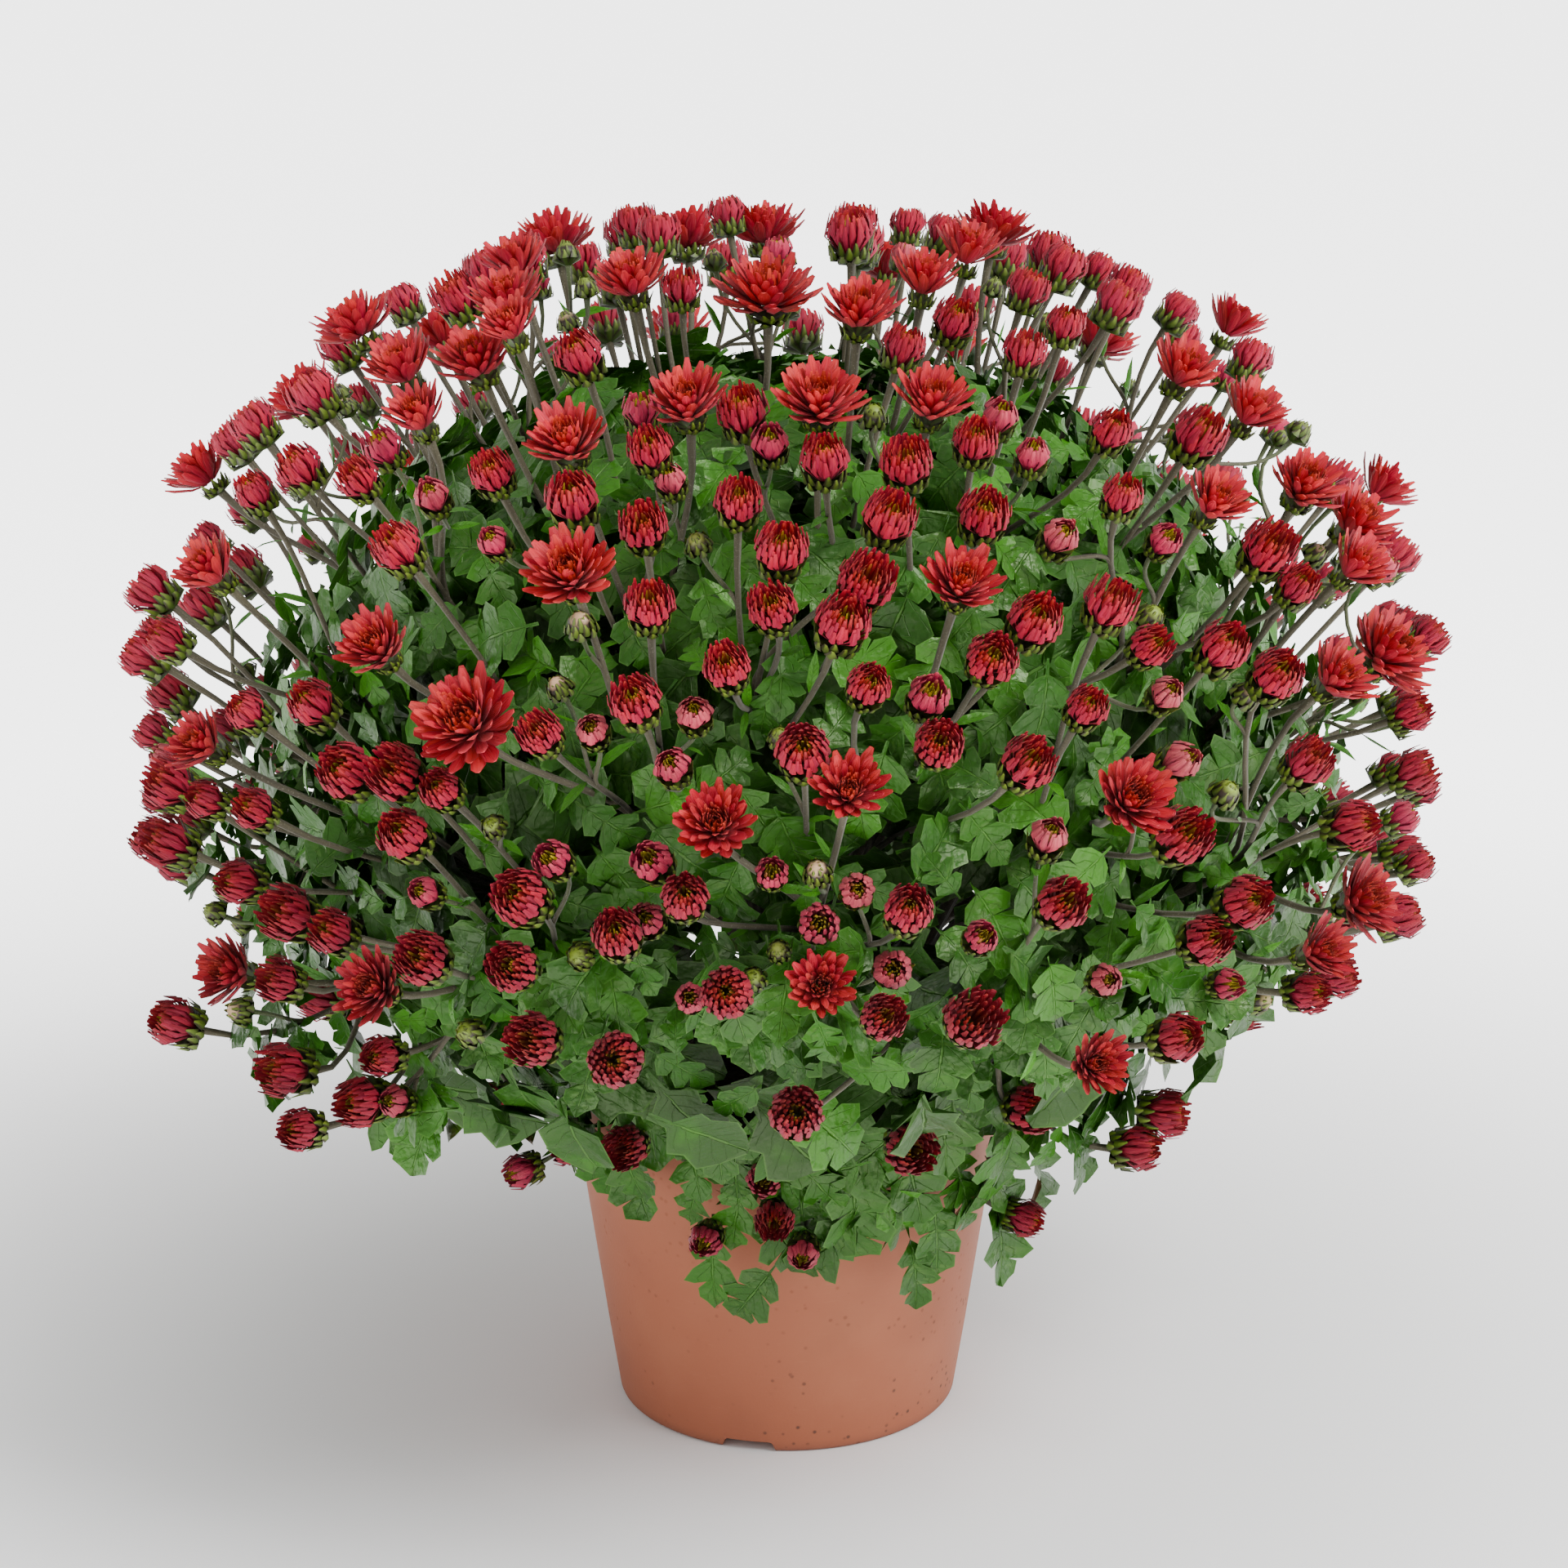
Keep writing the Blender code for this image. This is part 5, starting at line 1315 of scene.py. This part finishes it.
# Stems: trunks rise from the soil to the crown, branches run from there to points under the canopy, and
# flower stems from the branches to the heads
BRANCHES = 66
BRANCH_DEPTH = 0.030
BRANCH_LAST_POLAR = 110.0
STEM_SECTION = tuple(
    (math.sin(math.radians(-72 * corner)), math.cos(math.radians(72 * corner)), 1.0) for corner in range(5)
)
STEM_RINGS = 9
STEM_OUTLINE = tuple((ring / (STEM_RINGS - 1), 1.0, 0.0) for ring in range(STEM_RINGS))
TRUNK_RADIUS, TRUNK_SPREAD = 0.0044, 1.6
TRUNK_FOOT, TRUNK_TOP, CROWN = 0.105, 0.190, 0.175
BRANCH_RADIUS, BRANCH_LEAN = 0.0019, 0.6
HEAD_STEM_REACH = 0.075
SIDE_STEM_REACH, SIDE_STEM_SHARE = 0.050, 0.7
YOUNG_KINDS = ("bud", "opening")
STEM_SIZES = {"bloom": 1.14, "cup": 1.0, "opening": 0.74, "bud": 0.74}
STEM_FLARE = (1.10, 1.55)
STEM_SHADES = (0.82, 1.12)
STEM_SHARP = 80

# At a stem's start and at its end: how far it runs straight on, as a share of its reach, how thick it is, as
# a share of its radius, and how old it is, from 0 for green to 1 for woody
BRANCH_ARCH, HEAD_STEM_ARCH, SIDE_STEM_ARCH = (0.30, 0.34), (0.36, 0.34), (0.30, 0.50)
TRUNK_TAPER, BRANCH_TAPER, STEM_TAPER = (1.0, 0.7), (1.5, 0.9), (1.15, 1.0)
TRUNK_AGES, BRANCH_AGES, HEAD_STEM_AGES, SIDE_STEM_AGES = (1.0, 1.0), (1.0, 0.5), (0.5, 0.35), (0.5, 0.0)

# The small leaves on the flower stems
LEAFLESS_AGE = 0.4
LANCE_WIDTH = 0.13
STEM_LEAF_PLACES = ((0.30, 0.55), (0.60, 0.85))
STEM_LEAF_LENGTHS, STEM_LEAF_LEANS = (0.007, 0.019), (0.5, 1.3)
STEM_LEAF_DROOPS, STEM_LEAF_FOLD, STEM_LEAF_SEAT = (-10, 55), 0.1, 0.6


def curve_between(start, leaving, end, arriving):
    """Points on a smooth curve that leaves and arrives along two given vectors."""
    time = np.linspace(0, 1, STEM_RINGS)[:, None]
    first, last = np.array(start), np.array(end)
    second, third = first + np.array(leaving), last - np.array(arriving)
    return (
        first * (1 - time) ** 3 + second * 3 * time * (1 - time) ** 2
        + third * 3 * time ** 2 * (1 - time) + last * time ** 3
    )


def tube_points(shape, path, radii):
    """Every point of a stem that follows a path and changes its radius along it."""
    ahead = np.gradient(path, axis=0)
    ahead /= np.linalg.norm(ahead, axis=1)[:, None]
    guide = np.array((0.36, 0.48, 0.80)) if abs(ahead[0][2]) < 0.95 else np.array((1.0, 0.0, 0.0))
    normal = guide - ahead * (ahead @ guide)[:, None]
    normal /= np.linalg.norm(normal, axis=1)[:, None]
    side = np.cross(normal, ahead)
    ring = np.round(shape.along * (len(path) - 1)).astype(int)
    radius = radii[ring][:, None]
    return path[ring] + (side[ring] * shape.points[:, :1] + normal[ring] * shape.points[:, 2:]) * radius


def arched(start, leaving, end, arriving, arch):
    """The curve of a stem that leaves and arrives along unit vectors."""
    reach = (end - start).length
    return curve_between(start, leaving * reach * arch[0], end, arriving * reach * arch[1])


def tapered(radius, taper):
    """The radius of a stem at each of its rings."""
    return np.linspace(radius * taper[0], radius * taper[1], STEM_RINGS)


def on_trunk(number, wider, height):
    """The point at a height on the ring of main stems, made wider, that belongs to a shoot's number."""
    ring = OUTER_STEM_RING if number else 0.0
    return heading((number - 1) * 360 / OUTER_SHOOTS, 90) * (ring * wider) + UP * height


@cache
def branching():
    """Every stem as (path, radii, age at its start, age at its end), first those of the heads in order."""
    stem = bpy.context.scene.mum_foliage.stem_radius
    rng = np.random.default_rng(SEED + 7)
    heads = flower_heads()
    nodes = []
    for out in spread(BRANCHES, BRANCH_LAST_POLAR):
        polar = math.degrees(math.acos(out.z))
        nodes.append(DOME_CENTRE + out * (canopy_reach(polar) - BRANCH_DEPTH))
    limbs = []
    for node in nodes:
        crown = on_trunk(shoot_of(node), TRUNK_SPREAD, CROWN)
        out = (node - STALKS_FROM).normalized()
        limbs.append(arched(crown, (UP + out * BRANCH_LEAN).normalized(), node, out, BRANCH_ARCH))
    paths = {}
    grown = [head for head in heads if head.kind not in YOUNG_KINDS]
    young = [head for head in heads if head.kind in YOUNG_KINDS]
    for head in grown:
        want = np.array(head.foot - head.axis * HEAD_STEM_REACH)
        limb = min(limbs, key=lambda path: np.linalg.norm(path[-1] - want))
        at = int(rng.integers(STEM_RINGS // 2, STEM_RINGS))
        out = Vector(limb[at] - limb[at - 1]).normalized()
        paths[head] = arched(Vector(limb[at]), out, head.foot, head.axis, HEAD_STEM_ARCH)
    for head in young:
        near = min(grown, key=lambda other: (other.foot - head.foot).length)
        path = paths[near]
        want = np.array(head.foot - head.axis * SIDE_STEM_REACH * SIDE_STEM_SHARE)
        at = int(np.argmin(np.linalg.norm(path[:-2] - want, axis=1)))
        out = Vector(path[at + 1] - path[at]).normalized()
        paths[head] = arched(Vector(path[at]), out, head.foot, head.axis, SIDE_STEM_ARCH)
    stems = []
    for head in heads:
        radii = tapered(stem * STEM_SIZES[head.kind], STEM_TAPER)
        radii[-2:] *= STEM_FLARE
        ages = SIDE_STEM_AGES if head.kind in YOUNG_KINDS else HEAD_STEM_AGES
        stems.append((paths[head], radii, *ages))
    for path in limbs:
        stems.append((path, tapered(BRANCH_RADIUS, BRANCH_TAPER), *BRANCH_AGES))
    for number in range(OUTER_SHOOTS + 1):
        foot, top = on_trunk(number, 1.0, TRUNK_FOOT), on_trunk(number, TRUNK_SPREAD, TRUNK_TOP)
        path = curve_between(foot, UP * 0.03, top, UP * 0.02 + on_trunk(number, 1.0, 0.0) * 0.3)
        stems.append((path, tapered(TRUNK_RADIUS, TRUNK_TAPER), *TRUNK_AGES))
    return tuple(stems)


class MUM_OT_stems(bpy.types.Operator):
    """Stems: trunks, branches and a stem for every flower head, with small lance-shaped leaves"""

    bl_idname = "mum.stems"
    bl_label = "Stems"

    def execute(self, context):
        rng = np.random.default_rng(SEED + 5)
        foliage = context.scene.mum_foliage
        tube = model_blade(STEM_SECTION, STEM_OUTLINE)
        lance = model_blade(LANCE_SECTION, LANCE)
        lance.points[:, [0, 2]] *= LANCE_WIDTH
        stems, lances = Bunch(), Bunch()
        for path, radii, first_age, last_age in branching():
            age = first_age + (last_age - first_age) * tube.along
            tints = blend_colours(foliage.stem_young, foliage.stem, smooth(age / 0.4))
            tints = blend_colours(tints, foliage.stem_old, smooth((age - 0.5) / 0.5))
            tints = tints[None] * rng.uniform(*STEM_SHADES)
            stems.add(tube, tube_points(tube, path, radii)[None], tints, rng)
            if last_age > LEAFLESS_AGE:
                continue
            for place in [rng.uniform(*span) for span in STEM_LEAF_PLACES]:
                ring = int(place * (STEM_RINGS - 1))
                along = Vector(path[ring + 1] - path[ring]).normalized()
                first, second = side_vectors(along)
                turn = rng.uniform(0, 2 * math.pi)
                aside = first * math.cos(turn) + second * math.sin(turn)
                lean = rng.uniform(*STEM_LEAF_LEANS)
                direction = (along + aside * lean).normalized()
                normal = (along * lean - aside).normalized()
                length = rng.uniform(*STEM_LEAF_LENGTHS)
                root = np.array(path[ring]) + np.array(aside) * radii[ring] * STEM_LEAF_SEAT
                points = bent_leaf(
                    lance, root, np.array(direction), np.array(normal), length,
                    rng.uniform(*STEM_LEAF_DROOPS), STEM_LEAF_FOLD, (0.0, 0.0),
                )
                tint = blend_colours(foliage.grown, foliage.young, rng.uniform(0.3, 1.0))
                lances.add(lance, kept_in_box(points[None]), tint, rng)
        seat_piece(stems.piece("stems", stem_finish(), STEM_SHARP))
        seat_piece(lances.piece("stem_leaves", leaf_finish(), PETAL_SHARP))
        return {"FINISHED"}


# Pot and soil
POT_TURNS = 120
FLOOR_UNDER = 0.005
FLOOR_TOP = 0.0075
FOOT_INNER = 0.0585
DRAIN_NOTCHES = 3
DRAIN_NOTCH_TURN = -13.0
DRAIN_NOTCH_SIZE = (0.026, 0.0046)
DRAIN_NOTCH_IN = 0.050
DRAIN_NOTCH_TOP = 0.78
DRAIN_NOTCH_ROUNDING = 0.0016
DRAIN_HOLES = 4
DRAIN_HOLE_RADIUS = 0.007
DRAIN_HOLE_RING = 0.042
FOOT_STEPS = 6
POT_SHARP, SOIL_SHARP = 35, 50
SOIL_GAP = 0.0004
SOIL_CROWN = 0.004
SOIL_TAPER = 0.148
SOIL_RINGS, SOIL_TURNS = 22, 96
SOIL_LUMPS, SOIL_LUMP_HEIGHT = 170, 0.0012
BARK_GRAINS = 260
BARK_SIZES = (0.0010, 0.0030)


def spun(name, profile, turns):
    """A closed body, spun round the pot's axis from (radius, height) points that start and end on it."""
    bpy.ops.object.select_all(action="DESELECT")
    mesh = bpy.data.meshes.new(name)
    edges = [(index, index + 1) for index in range(len(profile) - 1)]
    mesh.from_pydata([(radius, 0, height) for radius, height in profile], edges, [])
    body = in_scene(name, mesh)
    bpy.context.view_layer.objects.active = body
    body.select_set(True)
    bpy.ops.object.mode_set(mode="EDIT")
    bpy.ops.mesh.select_all(action="SELECT")
    bpy.ops.mesh.spin(steps=turns, angle=2 * math.pi, center=(0, 0, 0), axis=(0, 0, 1))
    bpy.ops.mesh.select_all(action="SELECT")
    bpy.ops.mesh.remove_doubles(threshold=0.00002)
    bpy.ops.mesh.normals_make_consistent(inside=False)
    bpy.ops.object.mode_set(mode="OBJECT")
    return body


def cut_away(body, cutter):
    """Cuts a cutter out of a body."""
    bpy.ops.object.select_all(action="DESELECT")
    bpy.context.view_layer.objects.active = body
    body.select_set(True)
    hole = body.modifiers.new("cut", "BOOLEAN")
    hole.operation, hole.object, hole.solver = "DIFFERENCE", cutter, "EXACT"
    bpy.ops.object.modifier_apply(modifier=hole.name)
    bpy.data.meshes.remove(cutter.data)


class MUM_OT_pot(bpy.types.Operator):
    """The nursery pot: tapered wall, rolled rim band, rounded foot, drain notches and drain holes"""

    bl_idname = "mum.pot"
    bl_label = "Nursery pot"

    def execute(self, context):
        pot = context.scene.mum_pot
        radius, top = pot_size()
        band = top - pot.rim_height

        def wall_at(height):
            """The outer radius of the wall at a height."""
            return pot.foot_radius + (radius - pot.rim_step - pot.foot_radius) * height / top

        profile = [
            (0.0, FLOOR_UNDER), (FOOT_INNER - 0.001, FLOOR_UNDER), (FOOT_INNER, FLOOR_UNDER - 0.001),
            (FOOT_INNER, 0.0006), (FOOT_INNER + 0.0006, 0.0),
        ]
        for step in range(FOOT_STEPS + 1):
            turn = math.radians(90 * step / FOOT_STEPS)
            across = pot.foot_radius - pot.foot_bevel * (1 - math.sin(turn))
            profile.append((across, pot.foot_bevel * (1 - math.cos(turn))))
        profile += [(wall_at(share * band), share * band) for share in (0.25, 0.5, 0.75, 0.97)]
        profile += [
            (wall_at(band) + 0.0003, band), (wall_at(band) + pot.rim_step * 0.85, band + 0.0006),
            (wall_at(band) + pot.rim_step, band + 0.0016), (radius - 0.0004, top - 0.0028),
            (radius, top - 0.0018), (radius - 0.0003, top - 0.0007), (radius - 0.0012, top),
            (radius - pot.wall - 0.0006, top), (radius - pot.wall - 0.0014, top - 0.0007),
            (radius - pot.wall - pot.rim_step, top - 0.003), (wall_at(FLOOR_TOP) - pot.wall, FLOOR_TOP),
            (0.0, FLOOR_TOP),
        ]
        body = spun("nursery_pot", profile, POT_TURNS)
        width, height = DRAIN_NOTCH_SIZE
        reach = (DRAIN_NOTCH_IN + radius) / 2
        for number in range(DRAIN_NOTCHES):
            azimuth = math.radians(DRAIN_NOTCH_TURN + number * 360 / DRAIN_NOTCHES)
            place = (reach * math.sin(azimuth), -reach * math.cos(azimuth), 0.0)
            bpy.ops.object.select_all(action="DESELECT")
            bpy.ops.mesh.primitive_cube_add(size=1, location=place, rotation=(0, 0, azimuth))
            cutter = context.object
            for vertex in cutter.data.vertices:
                if vertex.co.z > 0:
                    vertex.co.x *= DRAIN_NOTCH_TOP
            cutter.scale = (width, radius - DRAIN_NOTCH_IN, 2 * height)
            bpy.ops.object.transform_apply(location=True, rotation=True, scale=True)
            edge = cutter.modifiers.new("soft", "BEVEL")
            edge.width, edge.segments = DRAIN_NOTCH_ROUNDING, 3
            bpy.ops.object.modifier_apply(modifier=edge.name)
            cut_away(body, cutter)
        for number in range(DRAIN_HOLES):
            azimuth = math.radians(45 + number * 360 / DRAIN_HOLES)
            x, y = DRAIN_HOLE_RING * math.sin(azimuth), -DRAIN_HOLE_RING * math.cos(azimuth)
            bpy.ops.object.select_all(action="DESELECT")
            bpy.ops.mesh.primitive_cylinder_add(
                vertices=32, radius=DRAIN_HOLE_RADIUS, depth=0.02, location=(x, y, FLOOR_TOP),
            )
            bpy.ops.object.transform_apply(location=True, rotation=False, scale=False)
            cut_away(body, context.object)
        body.data.shade_smooth()
        body.data.set_sharp_from_angle(angle=math.radians(POT_SHARP))
        body.data.materials.append(plastic_finish())
        seat_piece(body, ["pot"])
        return {"FINISHED"}


class MUM_OT_soil(bpy.types.Operator):
    """The potting soil with its bark grains"""

    bl_idname = "mum.soil"
    bl_label = "Potting soil"

    def execute(self, context):
        rng = np.random.default_rng(SEED + 6)
        pot = context.scene.mum_pot
        low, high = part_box("soil")
        top_radius = high.x - SOIL_GAP
        foot_radius = top_radius - (pot.soil_top - low.z) * SOIL_TAPER
        profile = [(0.0, low.z), (foot_radius, low.z), (top_radius, pot.soil_top - 0.001)]
        for step in range(1, SOIL_RINGS + 1):
            share = 1 - step / SOIL_RINGS
            height = pot.soil_top - 0.0005 + SOIL_CROWN * 0.8 * (1 - share * share)
            profile.append((top_radius * share, height))
        body = spun("potting_soil", profile, SOIL_TURNS)
        for vertex in body.data.vertices:
            if vertex.co.z > pot.soil_top - 0.0009:
                lumps = noise.fractal(vertex.co * SOIL_LUMPS, 1.0, 2.0, 3)
                edge = 1 - float(smooth((math.hypot(vertex.co.x, vertex.co.y) / top_radius - 0.9) / 0.1))
                vertex.co.z += SOIL_LUMP_HEIGHT * lumps * edge
        ball = model_ball(5, 4)
        bunch = Bunch()
        faces = [face.vertices[:] for face in body.data.polygons]
        triangles = np.array([(f[0], f[i], f[i + 1]) for f in faces for i in range(1, len(f) - 1)])
        points = np.array([v.co for v in body.data.vertices])
        bpy.data.meshes.remove(body.data)
        none, full = np.zeros(len(points)), np.ones(len(points))
        bunch.add(Shape(points, none, none, full, triangles), points[None], np.array(pot.soil), rng)
        for _ in range(BARK_GRAINS):
            a, across = rng.uniform(0, 2 * math.pi), top_radius * math.sqrt(rng.uniform(0, 0.9))
            size = rng.uniform(*BARK_SIZES)
            stretch = rng.uniform(0.4, 1.4, 3) * size
            place = np.array((across * math.sin(a), across * math.cos(a), pot.soil_top + 0.0022))
            grain = ball.points * stretch * (1 + rng.uniform(-0.2, 0.2, (len(ball.points), 1))) + place
            grain[:, 2] = np.minimum(grain[:, 2], pot.soil_top + SOIL_CROWN)
            tint = blend_colours(pot.soil, pot.bark, rng.uniform(0.1, 1.0))
            bunch.add(ball, grain[None], tint, rng)
        seat_piece(bunch.piece("potting_soil", soil_finish(), SOIL_SHARP), ["soil"])
        return {"FINISHED"}


# Stage: the floor's width, and each light's setting, place and width
FLOOR_WIDTH = 120
LIGHTS = (("key", (1.50, -1.00, 2.20), 1.2), ("fill", (-1.6, -1.3, 1.1), 1.8))
LIGHTS_AIM = Vector((0, 0, 0.28))
CAMERA_SEES_TO = 60


class MUM_OT_stage(bpy.types.Operator):
    """The plain pale floor, the soft studio lights and the camera"""

    bl_idname = "mum.stage"
    bl_label = "Stage"

    def execute(self, context):
        stage = context.scene.mum_stage
        bpy.ops.object.select_all(action="DESELECT")
        bpy.ops.mesh.primitive_plane_add(size=FLOOR_WIDTH, location=(0, 0, 0))
        floor = context.object
        floor.name = "floor"
        floor.data.materials.append(floor_finish())
        world = bpy.data.worlds.new("studio")
        world.use_nodes = True
        background = world.node_tree.nodes["Background"]
        background.inputs["Color"].default_value = (1.0, 1.0, 1.0, 1.0)
        background.inputs["Strength"].default_value = stage.sky
        context.scene.world = world
        for name, place, size in LIGHTS:
            light = bpy.data.lights.new(name + "_light", "AREA")
            light.energy, light.size = getattr(stage, name), size
            lamp = in_scene(name + "_light", light)
            lamp.location = place
            lamp.rotation_euler = (LIGHTS_AIM - Vector(place)).to_track_quat("-Z", "Y").to_euler()
        lens = bpy.data.cameras.new("camera")
        lens.sensor_width = SENSOR
        lens.lens = PIXELS_PER_RADIAN / PIXELS * SENSOR
        lens.shift_x = -(MIDDLE_X - PIXELS / 2) / PIXELS
        lens.shift_y = (MIDDLE_Y - PIXELS / 2) / PIXELS
        lens.clip_end = CAMERA_SEES_TO
        camera = in_scene("camera", lens)
        camera.location = CAMERA
        camera.rotation_euler = (math.radians(90 - CAMERA_TILT), 0, 0)
        context.scene.camera = camera
        return {"FINISHED"}


OPERATORS = (
    MUM_OT_pot, MUM_OT_soil, MUM_OT_stems, MUM_OT_leaves, MUM_OT_open_blooms, MUM_OT_cups, MUM_OT_bracts,
    MUM_OT_stage,
)
SETTINGS = {
    "mum_pot": PotSettings, "mum_foliage": FoliageSettings, "mum_flowers": FlowerSettings,
    "mum_stage": StageSettings,
}


class MUM_PT_panel(bpy.types.Panel):
    """Lists the pieces and their settings in the sidebar"""

    bl_idname = "MUM_PT_panel"
    bl_label = "Chrysanthemum"
    bl_space_type = "VIEW_3D"
    bl_region_type = "UI"
    bl_category = "Chrysanthemum"

    def draw(self, context):
        for operator in OPERATORS:
            self.layout.operator(operator.bl_idname)
        for name, group in SETTINGS.items():
            box = self.layout.box()
            for setting in group.__annotations__:
                box.prop(getattr(context.scene, name), setting)


def register():
    """Adds the settings, the operators and the panel to Blender."""
    for name, group in SETTINGS.items():
        bpy.utils.register_class(group)
        setattr(bpy.types.Scene, name, bpy.props.PointerProperty(type=group))
    for operator in OPERATORS:
        bpy.utils.register_class(operator)
    bpy.utils.register_class(MUM_PT_panel)


def unregister():
    """Takes the panel, the operators and the settings out of Blender again."""
    bpy.utils.unregister_class(MUM_PT_panel)
    for operator in reversed(OPERATORS):
        bpy.utils.unregister_class(operator)
    for name, group in SETTINGS.items():
        delattr(bpy.types.Scene, name)
        bpy.utils.unregister_class(group)


def main():
    """Makes every piece and the stage."""
    register()
    for operator in OPERATORS:
        package, name = operator.bl_idname.split(".")
        getattr(getattr(bpy.ops, package), name)()


if __name__ == "__main__":
    main()
